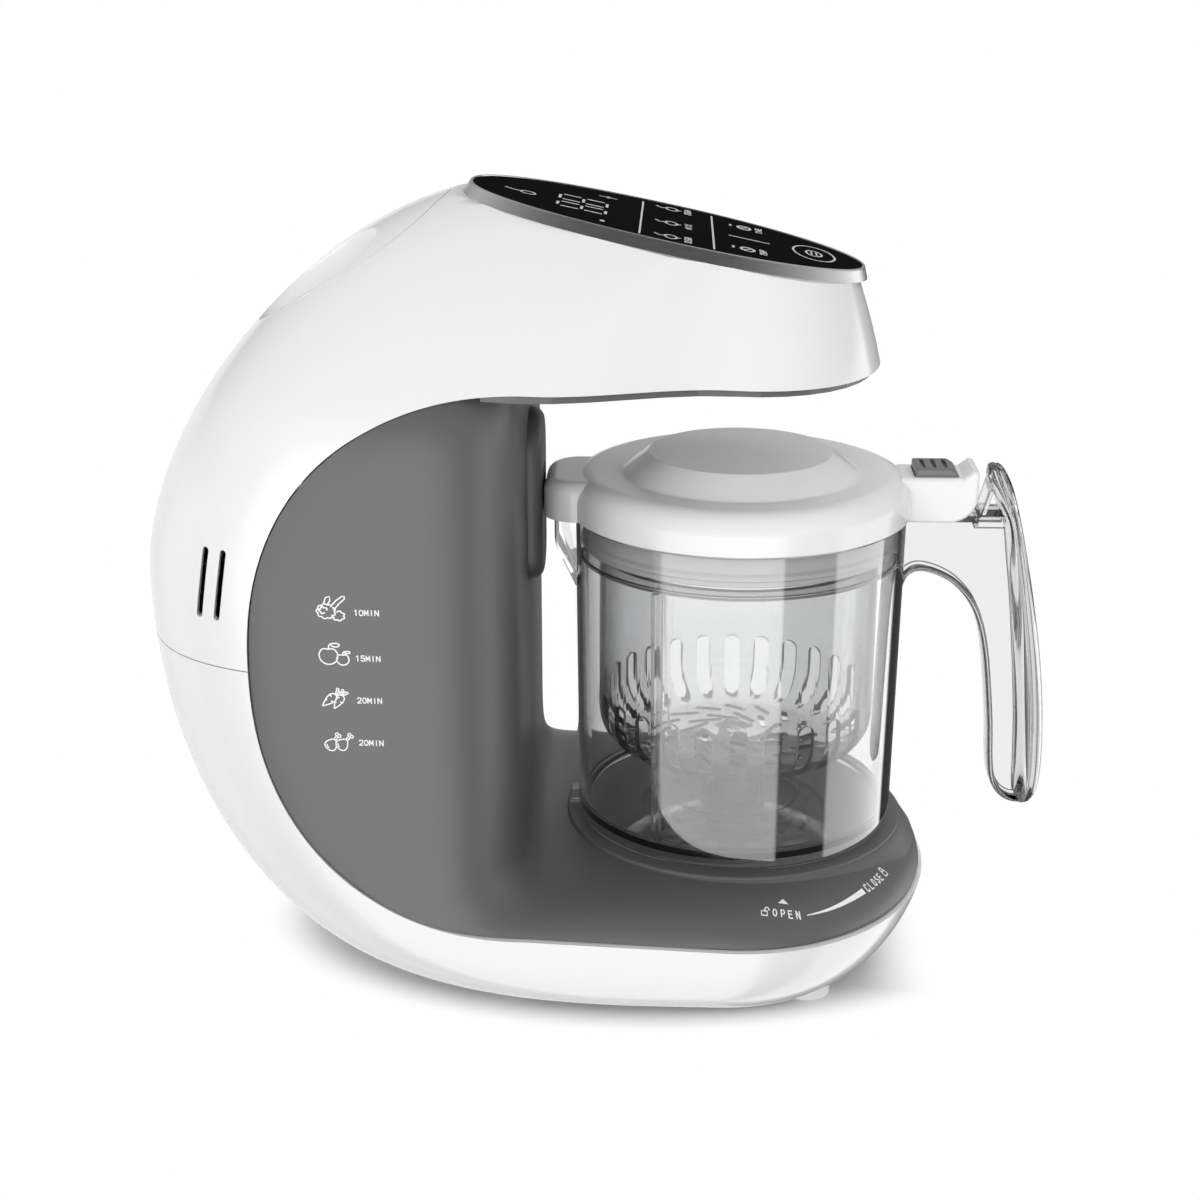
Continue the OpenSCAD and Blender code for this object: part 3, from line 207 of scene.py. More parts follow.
def outline(z, inset):
    """Closed outline of the body at a height, from the rear round both flanks."""
    back, front = rear_x(z) + inset, girth(z, NOSE_REACH) - inset
    wide, nose = girth(z, FLANK_HALF) - inset, girth(z, NOSE_HALF) - inset
    turn = NOSE_ROOT_HEAD if z > HEAD_Z else NOSE_ROOT
    run = REAR_LEN - inset
    half = []
    for i in range(REAR_STEPS + 1):
        a = math.pi / 2 * i / REAR_STEPS
        along, across = 1 - math.cos(a) ** (2 / REAR_ROUND), math.sin(a) ** (2 / REAR_ROUND)
        half.append((back + run * along, wide * across))
    for i in range(1, FLANK_STEPS + 1):
        f = i / (FLANK_STEPS + 1)
        half.append((back + run + (turn - back - run) * f, wide + (nose - wide) * ease(f)))
    for i in range(NOSE_STEPS + 1):
        a = math.pi / 2 * i / NOSE_STEPS
        half.append((turn + (front - turn) * math.sin(a), nose * math.cos(a)))
    return [(x, -y) for x, y in half] + half[-2:0:-1]


def levels(low, high):
    """Heights for the body's outlines, closer where it curves."""
    steps = [BASE_Z + (EDGE_Z - BASE_Z) * (i / EDGE_STEPS) ** EDGE_CROWD for i in range(EDGE_STEPS)]
    steps += [EDGE_Z + (BACK_Z - EDGE_Z) * i / SIDE_STEPS for i in range(SIDE_STEPS)]
    steps += [BACK_Z + (HEAD_Z - BACK_Z) * i / BACK_STEPS for i in range(BACK_STEPS)]
    steps += [HEAD_Z + HEAD_SKIP + (TOP_Z - TOP_SKIP - HEAD_Z) * (1 - (1 - i / HEAD_STEPS) ** HEAD_CROWD)
              for i in range(HEAD_STEPS + 1)]
    return [low] + [z for z in steps if low + LEVEL_GAP < z < high - LEVEL_GAP] + [high]


# Tools that shape a mesh.
def arc(cx, cz, r, start, end, steps=6):
    angles = [math.radians(start + (end - start) * k / steps) for k in range(steps + 1)]
    return [(cx + r * math.cos(a), cz + r * math.sin(a)) for a in angles]


def sheet(bm, across, along, place):
    """A grid of faces whose corners are put in space by place(u, v)."""
    for v in bmesh.ops.create_grid(bm, x_segments=across, y_segments=along, size=1.0)["verts"]:
        v.co = Vector(place((v.co.x + 1) / 2, (v.co.y + 1) / 2))


def close(bm):
    """Joins the seams, fills open ends and turns the faces outwards."""
    bmesh.ops.remove_doubles(bm, verts=bm.verts[:], dist=MERGE)
    bmesh.ops.dissolve_degenerate(bm, edges=bm.edges[:], dist=MERGE)
    open_edges = [e for e in bm.edges if e.is_boundary]
    if open_edges:
        bmesh.ops.holes_fill(bm, edges=open_edges, sides=0)
    bmesh.ops.recalc_face_normals(bm, faces=bm.faces[:])
    return bm


def lofted(rings, around=False):
    """A closed skin through outlines of as many points each; with around, the last one joins the first."""
    count, steps = len(rings[0]), len(rings) - (not around)
    bm = bmesh.new()
    sheet(bm, count, steps, lambda u, v: rings[round(v * steps) % len(rings)][round(u * count) % count])
    return close(bm)


def lathe(profile, steps=160):
    """Turns a closed half section of (radius, height) points round the jar's axis."""
    bm = bmesh.new()
    corners = [bm.verts.new((r, 0, z)) for r, z in profile]
    lines = [bm.edges.new(pair) for pair in zip(corners, corners[1:] + corners[:1])]
    bmesh.ops.spin(bm, geom=corners + lines, cent=(0, 0, 0), axis=(0, 0, 1), dvec=(0, 0, 0),
                   angle=2 * math.pi, steps=steps, use_merge=True, use_duplicate=False)
    return close(bm)


def slab(points, depth, upright=False, low=0.0):
    """An outline given thickness: a plan from a height up, or a side view across the width."""
    bm = bmesh.new()
    corners = [bm.verts.new((a, -depth / 2, b) if upright else (a, b, low)) for a, b in points]
    face = bm.faces.new(corners)
    grown = bmesh.ops.extrude_face_region(bm, geom=[face])["geom"]
    moved = [g for g in grown if isinstance(g, bmesh.types.BMVert)]
    bmesh.ops.translate(bm, verts=moved, vec=(0, depth, 0) if upright else (0, 0, depth))
    bmesh.ops.recalc_face_normals(bm, faces=bm.faces[:])
    return bm


def soften(bm, width, segments=3, angle=40, test=None):
    """Rounds the edges that are sharper than an angle."""
    limit = math.radians(angle)
    edges = [e for e in bm.edges if e.is_manifold and e.calc_face_angle(0) > limit and (not test or test(e))]
    bmesh.ops.bevel(bm, geom=edges, offset=width, offset_type="OFFSET", segments=segments, profile=0.5,
                    affect="EDGES", material=-1, clamp_overlap=True)
    return bm


def drum(radius, low, high, at=(0, 0), steps=128, top_radius=None):
    bm = bmesh.new()
    bmesh.ops.create_cone(bm, cap_ends=True, segments=steps, radius1=radius,
                          radius2=radius if top_radius is None else top_radius, depth=high - low)
    bmesh.ops.translate(bm, verts=bm.verts[:], vec=(at[0], at[1], (low + high) / 2))
    return bm


def block(low, high):
    bm = bmesh.new()
    bmesh.ops.create_cube(bm, size=1.0)
    bmesh.ops.scale(bm, verts=bm.verts[:], vec=[h - l for l, h in zip(low, high)])
    bmesh.ops.translate(bm, verts=bm.verts[:], vec=[(l + h) / 2 for l, h in zip(low, high)])
    return bm


def turned(bm, matrix):
    bmesh.ops.transform(bm, matrix=matrix, verts=bm.verts[:])
    return bm


def placed(bm, at=(0, 0, 0), angle=0.0, axis="Z", size=1.0):
    """Scales a mesh, turns it by degrees round an axis and moves it."""
    turn = Matrix.Rotation(math.radians(angle), 4, axis)
    return turned(bm, Matrix.Translation(at) @ turn @ Matrix.Scale(size, 4))


def joined(parts):
    """Several meshes as one."""
    whole = bmesh.new()
    for bm in parts:
        mesh = bpy.data.meshes.new("part")
        bm.to_mesh(mesh)
        bm.free()
        whole.from_mesh(mesh)
        bpy.data.meshes.remove(mesh)
    return whole


def as_object(bm, name):
    mesh = bpy.data.meshes.new(name)
    bm.to_mesh(mesh)
    bm.free()
    obj = bpy.data.objects.new(name, mesh)
    bpy.context.scene.collection.objects.link(obj)
    return obj


def evaluated(*objects):
    """The first object's mesh with its modifiers applied; the objects are removed."""
    mesh = bpy.data.meshes.new_from_object(objects[0].evaluated_get(bpy.context.evaluated_depsgraph_get()))
    out = bmesh.new()
    out.from_mesh(mesh)
    bpy.data.meshes.remove(mesh)
    for obj in objects:
        used = obj.data
        bpy.data.objects.remove(obj)
        bpy.data.meshes.remove(used)
    if not out.faces:
        raise RuntimeError("a step left nothing of a shape")
    return out


def melted(bm, grain, rounds):
    """Runs the creases between joined shapes into soft blends."""
    obj = as_object(bm, "melt")
    step = obj.modifiers.new("step", "REMESH")
    step.mode = "VOXEL"
    step.voxel_size = grain
    out = evaluated(obj)
    for _ in range(rounds):
        bmesh.ops.smooth_vert(out, verts=out.verts[:], factor=0.5,
                              use_axis_x=True, use_axis_y=True, use_axis_z=True)
    return out


def combined(bm, tools, operation):
    """Adds, cuts or keeps the common part of closed meshes, one tool after another."""
    for tool in tools:
        base, other = as_object(bm, "base"), as_object(tool, "tool")
        step = base.modifiers.new("step", "BOOLEAN")
        step.operation = operation
        step.solver = "EXACT"
        step.object = other
        bm = evaluated(base, other)
    return bm


def cut(bm, *tools):
    return combined(bm, tools, "DIFFERENCE")


def added(bm, *tools):
    return combined(bm, tools, "UNION")


def kept(bm, *tools):
    return combined(bm, tools, "INTERSECT")


def piece(bm, name, body, slot, nodes=(), look=None):
    """Places a finished mesh in the frame as a piece that rides on a body; look is a finish of its own."""
    bmesh.ops.remove_doubles(bm, verts=bm.verts[:], dist=MERGE)
    turned(bm, PLACE)
    obj = as_object(bm, name)
    obj.data.shade_smooth()
    obj.data.set_sharp_from_angle(angle=math.radians(SHARP))
    obj.data.materials.append(finish(look or slot))
    even = obj.modifiers.new("even shading", "WEIGHTED_NORMAL")
    even.keep_sharp = True
    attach(obj, body)
    if nodes:
        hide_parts(*nodes)
    return obj


# Finishes: depths of relief in metres, and the attribute that marks the faces inside the basket's slots,
# which get painted shade.
RELIEF, BOARD_RELIEF = 0.00005, 0.0001
SLOT_SHADE_FACE = "cut_face"


def node(tree, kind, inputs=None, **values):
    """A new shader node; each of its inputs gets a value, or a link from another node's output."""
    made = tree.nodes.new("ShaderNode" + kind)
    for key, value in values.items():
        setattr(made, key, value)
    for key, value in (inputs or {}).items():
        if isinstance(value, bpy.types.NodeSocket):
            tree.links.new(value, made.inputs[key])
        else:
            made.inputs[key].default_value = value
    return made


def maths(tree, operation, *inputs):
    return node(tree, "Math", dict(enumerate(inputs)), operation=operation).outputs[0]


def blended(tree, share, first, second):
    """A colour between two others."""
    return node(tree, "Mix", {0: share, 6: first, 7: second}, data_type="RGBA").outputs[2]


def mixed(tree, share, first, second):
    """A shader between two others."""
    return node(tree, "MixShader", {"Fac": share, 1: first, 2: second}).outputs[0]


def moulded_skin(group, given, place):
    """Slow drift of tone and gloss with a fine grain, as moulded plastic has."""
    broad = node(group, "TexNoise", {"Vector": place, "Scale": 14, "Detail": 3}).outputs["Fac"]
    shift = maths(group, "SUBTRACT", broad, 0.5)
    grain = given["Grain size"]
    fine = node(group, "TexNoise", {"Vector": place, "Scale": grain, "Detail": 2}).outputs["Fac"]
    return maths(group, "MULTIPLY_ADD", shift, given["Drift"], 1.0), maths(group, "ADD", shift, fine), fine


def brushed_skin(group, given, place):
    """Fine parallel scratches along one direction."""
    stretched = node(group, "VectorMath", {0: place, 1: given["Stretch"]}, operation="MULTIPLY").outputs[0]
    lines = node(group, "TexNoise", {"Vector": stretched, "Scale": 1, "Detail": 4}).outputs["Fac"]
    return maths(group, "MULTIPLY_ADD", lines, 0.3, 0.85), lines, lines


# Node groups: the function that draws the tone, gloss and height, and the inputs of its own.
SKINS = {"Moulded skin": (moulded_skin, (("Drift", "Float", 0.04), ("Grain size", "Float", 900.0))),
         "Brushed lines": (brushed_skin, (("Stretch", "Vector", (60.0, 60.0, 4000.0)),))}
SKIN_INPUTS = (("Colour", "Color", (0.5, 0.5, 0.5, 1)), ("Rough", "Float", 0.3),
               ("Rough range", "Float", 0.06))
SKIN_OUTPUTS = (("Colour", "Color"), ("Roughness", "Float"), ("Height", "Float"))


def skin_group(name):
    """The node group that gives a surface its colour, roughness and height."""
    if name in bpy.data.node_groups:
        return bpy.data.node_groups[name]
    drawn, own_inputs = SKINS[name]
    group = bpy.data.node_groups.new(name, "ShaderNodeTree")
    for socket, kind, default in SKIN_INPUTS + own_inputs:
        made = group.interface.new_socket(name=socket, in_out="INPUT", socket_type="NodeSocket" + kind)
        made.default_value = default
    for socket, kind in SKIN_OUTPUTS:
        group.interface.new_socket(name=socket, in_out="OUTPUT", socket_type="NodeSocket" + kind)
    given, out = group.nodes.new("NodeGroupInput").outputs, group.nodes.new("NodeGroupOutput").inputs
    tone, gloss, height = drawn(group, given, node(group, "TexCoord").outputs["Object"])
    tint = node(group, "VectorMath", {0: given["Colour"], "Scale": tone}, operation="SCALE").outputs[0]
    rough = maths(group, "MULTIPLY_ADD", gloss, given["Rough range"], given["Rough"])
    for socket, result in (("Colour", tint), ("Roughness", rough), ("Height", height)):
        group.links.new(result, out[socket])
    return group


def material_base(name):
    """A new material with a shader and an output."""
    material = bpy.data.materials.new(name)
    material.use_nodes = True
    tree = material.node_tree
    tree.nodes.clear()
    shader = node(tree, "BsdfPrincipled")
    out = node(tree, "OutputMaterial", {"Surface": shader.outputs[0]})
    return material, tree, shader, out


def fed(tree, shader, tint, rough, height, bump, distance):
    """Feeds a colour, a roughness and a height to a shader."""
    relief = node(tree, "Bump", {"Strength": bump, "Distance": distance, "Height": height})
    for key, source in (("Base Color", tint), ("Roughness", rough), ("Normal", relief.outputs["Normal"])):
        tree.links.new(source, shader.inputs[key])


def dressed(name, skin, bump, sockets, **values):
    """A material whose surface comes from a node group; sockets are further values of its shader."""
    material, tree, shader, out = material_base(name)
    effect = node(tree, "Group", values, node_tree=skin_group(skin)).outputs
    fed(tree, shader, effect["Colour"], effect["Roughness"], effect["Height"], bump, RELIEF)
    for key, value in sockets.items():
        shader.inputs[key].default_value = value
    return material, tree, shader, out


def moulded(name, rgb, rough, spread, drift, bump, grain, **sockets):
    values = {"Colour": (*rgb, 1), "Drift": drift, "Rough": rough, "Rough range": spread, "Grain size": grain}
    return dressed(name, "Moulded skin", bump, sockets, **values)


def brushed(name, rgb, stretch, rough, spread, bump):
    values = {"Colour": (*rgb, 1), "Stretch": stretch, "Rough": rough, "Rough range": spread}
    return dressed(name, "Brushed lines", bump, {"Metallic": 1.0}, **values)


def see_through(name, rgb, rough, ior, shade, spread=0.02, sheen=0.0, dark_cuts=False):
    """Clear moulded plastic that lets soft light through; faces marked as cut can get a darker base colour, a
    painted shade.
    """
    sockets = {"Transmission Weight": 1.0, "IOR": ior, "Coat Weight": sheen}
    _, tree, shader, out = moulded(name, rgb, rough, spread, drift=0.02, bump=0.01, grain=300.0, **sockets)
    if dark_cuts:
        # Painted shade: the faces inside the slots get a dark base colour.
        slot_shade_mask = node(tree, "Attribute", attribute_name=SLOT_SHADE_FACE).outputs["Fac"]
        plain = shader.inputs["Base Color"].links[0].from_socket
        tint = blended(tree, slot_shade_mask, plain, (*bpy.context.scene.steamer_finishes.painted_slot_shade, 1))
        tree.links.new(tint, shader.inputs["Base Color"])
    clear = node(tree, "BsdfTransparent", {"Color": (shade, shade, shade, 1)}).outputs[0]
    path = node(tree, "LightPath").outputs
    soft = maths(tree, "MAXIMUM", path["Is Shadow Ray"], path["Is Diffuse Ray"])
    tree.links.new(mixed(tree, soft, shader.outputs[0], clear), out.inputs["Surface"])


def board(name, rgb):
    """A circuit board with lighter tracks."""
    _, tree, shader, _ = material_base(name)
    second, tracks = [0.8 * c for c in rgb], [min(1, 2.6 * c + 0.02) for c in rgb]
    pattern = node(tree, "TexBrick", {
        "Vector": node(tree, "TexCoord").outputs["Object"], "Scale": 160, "Mortar Size": 0.05,
        "Color1": (*rgb, 1), "Color2": (*second, 1), "Mortar": (*tracks, 1)}).outputs
    rough = maths(tree, "MULTIPLY_ADD", pattern["Fac"], -0.15, 0.5)
    fed(tree, shader, pattern["Color"], rough, pattern["Fac"], 0.2, BOARD_RELIEF)


CLEAR = dict(rough=0.012, ior=1.55, shade=0.82, sheen=1.0)
PRINT = dict(rough=0.5, spread=0.1, drift=0.04, bump=0.05, grain=2500.0)
GLOSSY_COAT = {"Coat Weight": 0.12, "Coat Roughness": 0.06, "IOR": 1.47}
# Finishes: what makes them, the material's name, the colour's name and further values.
FINISHES = {
    "white_shell": (moulded, "White shell", "white",
                    dict(rough=0.17, spread=0.05, drift=0.02, bump=0.02, grain=700.0, **GLOSSY_COAT)),
    "grey_plastic": (moulded, "Grey plastic", "grey",
                     dict(rough=0.42, spread=0.08, drift=0.05, bump=0.12, grain=1400.0)),
    "bezel_metal": (brushed, "Bezel metal", "metal",
                    dict(stretch=(90.0, 90.0, 5000.0), rough=0.25, spread=0.15, bump=0.08)),
    "panel_black": (moulded, "Black panel", "glass_black",
                    {"rough": 0.22, "spread": 0.05, "drift": 0.2, "bump": 0.01, "grain": 500.0,
                     "Specular IOR Level": 0.0}),
    "dark_plastic": (moulded, "Dark plastic", "dark",
                     dict(rough=0.4, spread=0.1, drift=0.12, bump=0.1, grain=1200.0)),
    "circuit_board": (board, "Circuit board", "board", {}),
    "clear_plastic": (see_through, "Clear plastic", "clear", CLEAR),
    # The basket's clear plastic, with painted shade on the faces inside its slots.
    "clear_basket": (see_through, "Clear basket", "clear", dict(CLEAR, dark_cuts=True)),
    "clear_grip": (see_through, "Clear grip", "grip", dict(rough=0.012, ior=1.52, shade=0.9)),
    "clear_tube": (see_through, "Clear tube", "tube", dict(rough=0.18, ior=1.42, shade=0.8, spread=0.08)),
    "steel": (brushed, "Steel", "steel",
              dict(stretch=(700.0, 700.0, 90.0), rough=0.26, spread=0.16, bump=0.08)),
    "soft_rubber": (moulded, "Soft rubber", "rubber",
                    dict(rough=0.62, spread=0.15, drift=0.15, bump=0.15, grain=1600.0)),
    "white_rubber": (moulded, "White rubber", "foot",
                     dict(rough=0.5, spread=0.12, drift=0.05, bump=0.1, grain=1500.0)),
    "silicone": (moulded, "Seal silicone", "silicone",
                 dict(rough=0.42, spread=0.1, drift=0.06, bump=0.05, grain=900.0)),
    "button": (moulded, "Button plastic", "button",
               dict(rough=0.4, spread=0.08, drift=0.06, bump=0.1, grain=1400.0)),
    "print": (moulded, "Printed white", "print", PRINT),
    "panel_print": (moulded, "Printed grey", "panel_print", PRINT)}


def finish(slot):
    """The material of one of the record's slots, or of a finish of its own."""
    maker, name, tint, values = FINISHES[slot]
    if name not in bpy.data.materials:
        maker(name, getattr(bpy.context.scene.steamer_finishes, tint), **values)
    return bpy.data.materials[name]


# Shapes that several pieces share.
CROWN_CUT, ROOM_CUT = 0.4, 0.6
CORE_X, CORE_Z, CORE_RUN, CORE_UP, CORE_DOWN = -67.0, 119.7, 85.0, 88.3, 87.2
CORE_LEAN, CORE_ROUND, CORE_STEPS = 0.042, 2.25, 96
PANEL_AT, PANEL_TILT = Vector((-22, 0, 246.9)), math.radians(12)
PANEL_REAR, PANEL_FRONT, PANEL_HALF, PANEL_ROUND, PANEL_STEPS = 69.0, 63.5, 41.5, 2.2, 64
ON_PANEL = Matrix.Translation(PANEL_AT) @ Matrix.Rotation(PANEL_TILT, 4, "Y")


def body_solid(inset, low=BASE_Z, high=TOP_Z - CROWN_CUT):
    """The whole body between two heights, drawn in by an inset."""
    return lofted([[(x, y, z) for x, y in outline(z, inset)] for z in levels(low, high)])


def body_room(low):
    """The space inside the body's wall, from a height up."""
    return body_solid(BODY.wall, low, TOP_Z - BODY.wall - ROOM_CUT)


def core_low(x):
    return CORE_Z - CORE_DOWN - CORE_LEAN * (x - CORE_X)


def core_high(x):
    return CORE_Z + CORE_UP - CORE_LEAN * (x - CORE_X)


def core_space(inset):
    """The front opening between head and base, as a block across the width."""
    points = []
    for k in range(CORE_STEPS + 1):
        a = math.pi * k / CORE_STEPS
        reach = CORE_UP - inset if a < math.pi / 2 else CORE_DOWN - inset
        side = math.copysign(abs(math.cos(a)) ** (2 / CORE_ROUND), math.cos(a))
        points.append((CORE_X - (CORE_RUN - inset) * math.sin(a) ** (2 / CORE_ROUND), CORE_Z + reach * side))
    points += [(FAR / 2, core_low(FAR / 2) + inset), (FAR / 2, core_high(FAR / 2) - inset)]
    return slab(points, FAR, upright=True)


def panel_outline(inset):
    rear, front, wide, share = PANEL_REAR - inset, PANEL_FRONT - inset, PANEL_HALF - inset, 2 / PANEL_ROUND
    angles = [math.pi / 2 * k / PANEL_STEPS for k in range(PANEL_STEPS + 1)]
    half = [(-rear * math.cos(a) ** share, wide * math.sin(a) ** share) for a in angles]
    half += [(front * math.sin(a), wide * math.cos(a)) for a in angles[1:]]
    return half + [(x, -y) for x, y in half[-2:0:-1]]


def above_panel(drop):
    return turned(block((-FAR, -FAR, -drop), (FAR, FAR, FAR)), ON_PANEL)


def slot_bar(width, span, depth):
    """A bar with round ends, standing, that cuts a slot across the width."""
    end = span / 2 - width / 2
    points = arc(0, end, width / 2, 0, 180, 12) + arc(0, -end, width / 2, 180, 360, 12)
    return slab(points, depth, upright=True)


def steam_hole(radius, x, half):
    """A drum along the steam's way, to cut a hole with."""
    return placed(drum(radius, -half, half, steps=48), (x, 0, STEAM_Z), 90, "Y")


VENT_XS, VENT_Z, VENT_LEAN = (-165.8, -159.8), 147.2, 9.0
INLET_BORE, INLET_LONG, INLET_AT = 6.3, 80.0, (-190.0, 0.0, 40.0)
RECESS_IN, RECESS_TALL, RECESS_DROP = 6.0, 30.0, 20.0
# Finger scoops of the tank's lid: place from the lid's middle and the skin, leans, and half sizes.
SCOOP_BACK, SCOOP_SIDE, SCOOP_DROP, SCOOP_PITCH, SCOOP_ROLL = 5.0, 19.0, 3.5, -42.0, -14.0
SCOOP_HALF = (25.0, 15.0, 8.0)


class STEAMER_OT_shells(bpy.types.Operator):
    """Make the white upper and lower shell and the tank's lid"""
    bl_idname = "steamer.shells"
    bl_label = "White shells"

    def execute(self, context):
        wall, gap, seam = BODY.wall, BODY.gap, BODY.seam
        room = cut(body_room(seam - 30), above_panel(BODY.bezel + wall))
        shell = cut(body_solid(0, seam + gap / 2), room, core_space(0), above_panel(BODY.bezel))
        recess = slab(panel_outline(RECESS_IN), RECESS_TALL, low=-BODY.bezel - RECESS_DROP)
        opening = drum(BODY.tank_lid + gap, HEAD_Z, FAR, (-BODY.tank_back, 0))
        shell = cut(shell, opening, turned(recess, ON_PANEL))
        for x in VENT_XS:
            vent = slot_bar(BODY.vent_width, BODY.vent, FAR)
            shell = cut(shell, placed(vent, (x, 0, VENT_Z), VENT_LEAN, "Y"))
        piece(shell, "upper_shell_white", "housing", "white_shell", ["upper_shell"])
        room = body_solid(wall, BASE_Z + wall, seam + 20)
        inlet = placed(drum(INLET_BORE, 0, INLET_LONG), INLET_AT, 90, "Y")
        low = cut(body_solid(0, BASE_Z, seam - gap / 2), room, core_space(0), inlet)
        piece(low, "lower_shell_white", "housing", "white_shell", ["lower_shell"])
        self.tank_lid(wall)
        return {"FINISHED"}

    def tank_lid(self, wall):
        plug = kept(body_solid(0, BACK_Z + 6), drum(BODY.tank_lid, HEAD_Z, FAR, (-BODY.tank_back, 0)))
        room = cut(body_room(BACK_Z), self.scoop(-1, wall), self.scoop(1, wall))
        plug = cut(plug, room, self.scoop(-1, 0), self.scoop(1, 0))
        piece(plug, "tank_lid_white", "tank_cap", "white_shell", ["tank_lid"])

    def scoop(self, side, grow):
        """A hollow for a finger on one side of the tank's lid."""
        bm = bmesh.new()
        bmesh.ops.create_uvsphere(bm, u_segments=64, v_segments=48, radius=1.0)
        x = -BODY.tank_back - SCOOP_BACK
        where = Matrix.Translation((x, SCOOP_SIDE * side, rear_z(x) - SCOOP_DROP))
        where = where @ Matrix.Rotation(math.radians(SCOOP_PITCH), 4, "Y")
        where = where @ Matrix.Rotation(math.radians(SCOOP_ROLL * side), 4, "X")
        return turned(bm, where @ Matrix.Diagonal((*[half + grow for half in SCOOP_HALF], 1)))


# Deck and column: shares of the shoulder's width, heights, and sizes of the well and the holes.
DECK_IN = (0, 0.015, 0.03, 0.06, 0.1, 0.15, 0.22, 0.3, 0.4, 0.52, 0.66, 0.82, 1)
DECK_ROOT, DECK_ROUND = 23.0, 2.1
COLUMN_REAR, COLUMN_TOP, COLUMN_LOW, COLUMN_ROOM_LOW = -158.0, 230.0, 14.0, 5.0
COLUMN_HEIGHTS = (33, 60, 90, 120, 150, 175, 190, *range(198, 230, 2))
BLEND_GRAIN, BLEND_ROUNDS = 2.0, 60
WELL_R, WELL_Z, SHAFT_HOLE, TUBE_HOLE = 32.0, 36.0, 5.0, 7.3
SEAT_IN, SEAT_ROUND = 20.0, 0.8


def deck_solid(drop):
    """The deck with its sloping shoulder, lower by a drop."""
    rings = [[(x, y, DECK_ROOT - 2 * drop) for x, y in outline(EDGE_Z, drop)]]
    for share in DECK_IN:
        rise = quarter(1 - share, DECK_ROUND)
        rings.append([(x, y, (core_low(x) + BODY.gap) * (1 - rise) + BODY.deck * rise - drop)
                      for x, y in outline(EDGE_Z, drop + share * BODY.shoulder)])
    return lofted(rings)


def flank_at(x, z):
    """Half width of the body's rear at a place."""
    return girth(z, FLANK_HALF) * quarter((rear_x(z) + REAR_LEN - x) / REAR_LEN, REAR_ROUND)


def column_plan(z, inset):
    corner, start = BODY.column_corner, COLUMN_REAR + inset
    cx = -BODY.column - corner
    side = [(x, flank_at(x, z) - inset) for x in (start + (cx - start) * k / 20 for k in range(20))]
    side += arc(cx, flank_at(cx, z) - corner, corner - inset, 90, 0, 24)
    return [(x, -y) for x, y in side] + side[::-1]


def column_solid(inset, low):
    """The column between the flanks, with its round front corners."""
    heights = (low, *COLUMN_HEIGHTS, COLUMN_TOP)
    return lofted([[(x, y, z) for x, y in column_plan(max(z, EDGE_Z), inset)] for z in heights])


class STEAMER_OT_housing(bpy.types.Operator):
    """Make the grey moulding with the column, the deck and the jar's seat"""
    bl_idname = "steamer.housing"
    bl_label = "Grey housing"

    def execute(self, context):
        wall, seat, top, deck, r = BODY.wall, BODY.seat, BODY.seat_height, BODY.deck, SEAT_ROUND
        whole = melted(added(column_solid(0, COLUMN_LOW), deck_solid(0)), BLEND_GRAIN, BLEND_ROUNDS)
        ring = [(SEAT_IN, top - 6), (seat + 5, top - 8), (seat + 2, deck - 2.5), (seat + r, deck - 0.4)]
        ring += arc(seat - r, top - r, r, 0, 90, 5) + [(SEAT_IN, top)]
        whole = added(kept(whole, core_space(BODY.gap)), lathe(ring))
        under = cut(deck_solid(wall), drum(WELL_R + wall, WELL_Z - wall, FAR, steps=160))
        hollow = added(column_solid(wall, COLUMN_ROOM_LOW), under, drum(SHAFT_HOLE, 0, 60, steps=48))
        well = drum(WELL_R, WELL_Z, FAR, steps=160)
        whole = cut(whole, hollow, well, steam_hole(TUBE_HOLE, -BODY.column, 10))
        piece(whole, "inner_housing_grey", "housing", "grey_plastic", ["inner_housing"])
        return {"FINISHED"}


OUTLET_HALF, OUTLET_LOW, OUTLET_HIGH, OUTLET_ROUND, OUTLET_FRONT = 14.0, -32.0, 26.5, 12.5, -65.3
OUTLET_SOFT, OUTLET_BORE, OUTLET_RECESS, OUTLET_DEEP = 4.2, 3.4, 8.4, 2.0


class STEAMER_OT_outlet(bpy.types.Operator):
    """Make the steam outlet's soft boss on the column"""
    bl_idname = "steamer.outlet"
    bl_label = "Steam outlet"

    def execute(self, context):
        plan = []
        corners = ((1, OUTLET_HIGH), (-1, OUTLET_HIGH), (-1, OUTLET_LOW), (1, OUTLET_LOW))
        for i, (side, z) in enumerate(corners):
            middle = side * (OUTLET_HALF - OUTLET_ROUND), z - math.copysign(OUTLET_ROUND, z)
            plan += arc(*middle, OUTLET_ROUND, 90 * i, 90 * i + 90, 10)
        root = -BODY.column - 0.5
        tall = OUTLET_FRONT - root
        pad = slab(plan, tall)
        soften(pad, OUTLET_SOFT, 7, 50, lambda e: min(v.co.z for v in e.verts) > tall - 0.1)
        for radius, low in ((OUTLET_BORE, -1), (OUTLET_RECESS, tall - OUTLET_DEEP)):
            pad = cut(pad, drum(radius, low, FAR, steps=64))
        stand = Matrix(((0, 0, 1, root), (1, 0, 0, 0), (0, 1, 0, STEAM_Z), (0, 0, 0, 1)))
        piece(turned(pad, stand), "steam_outlet_boss", "housing", "grey_plastic", ["steam_outlet"])
        return {"FINISHED"}


BEZEL_LEAN, GLASS_GAP, GLASS_SOFT = 1.5, 0.3, 0.25


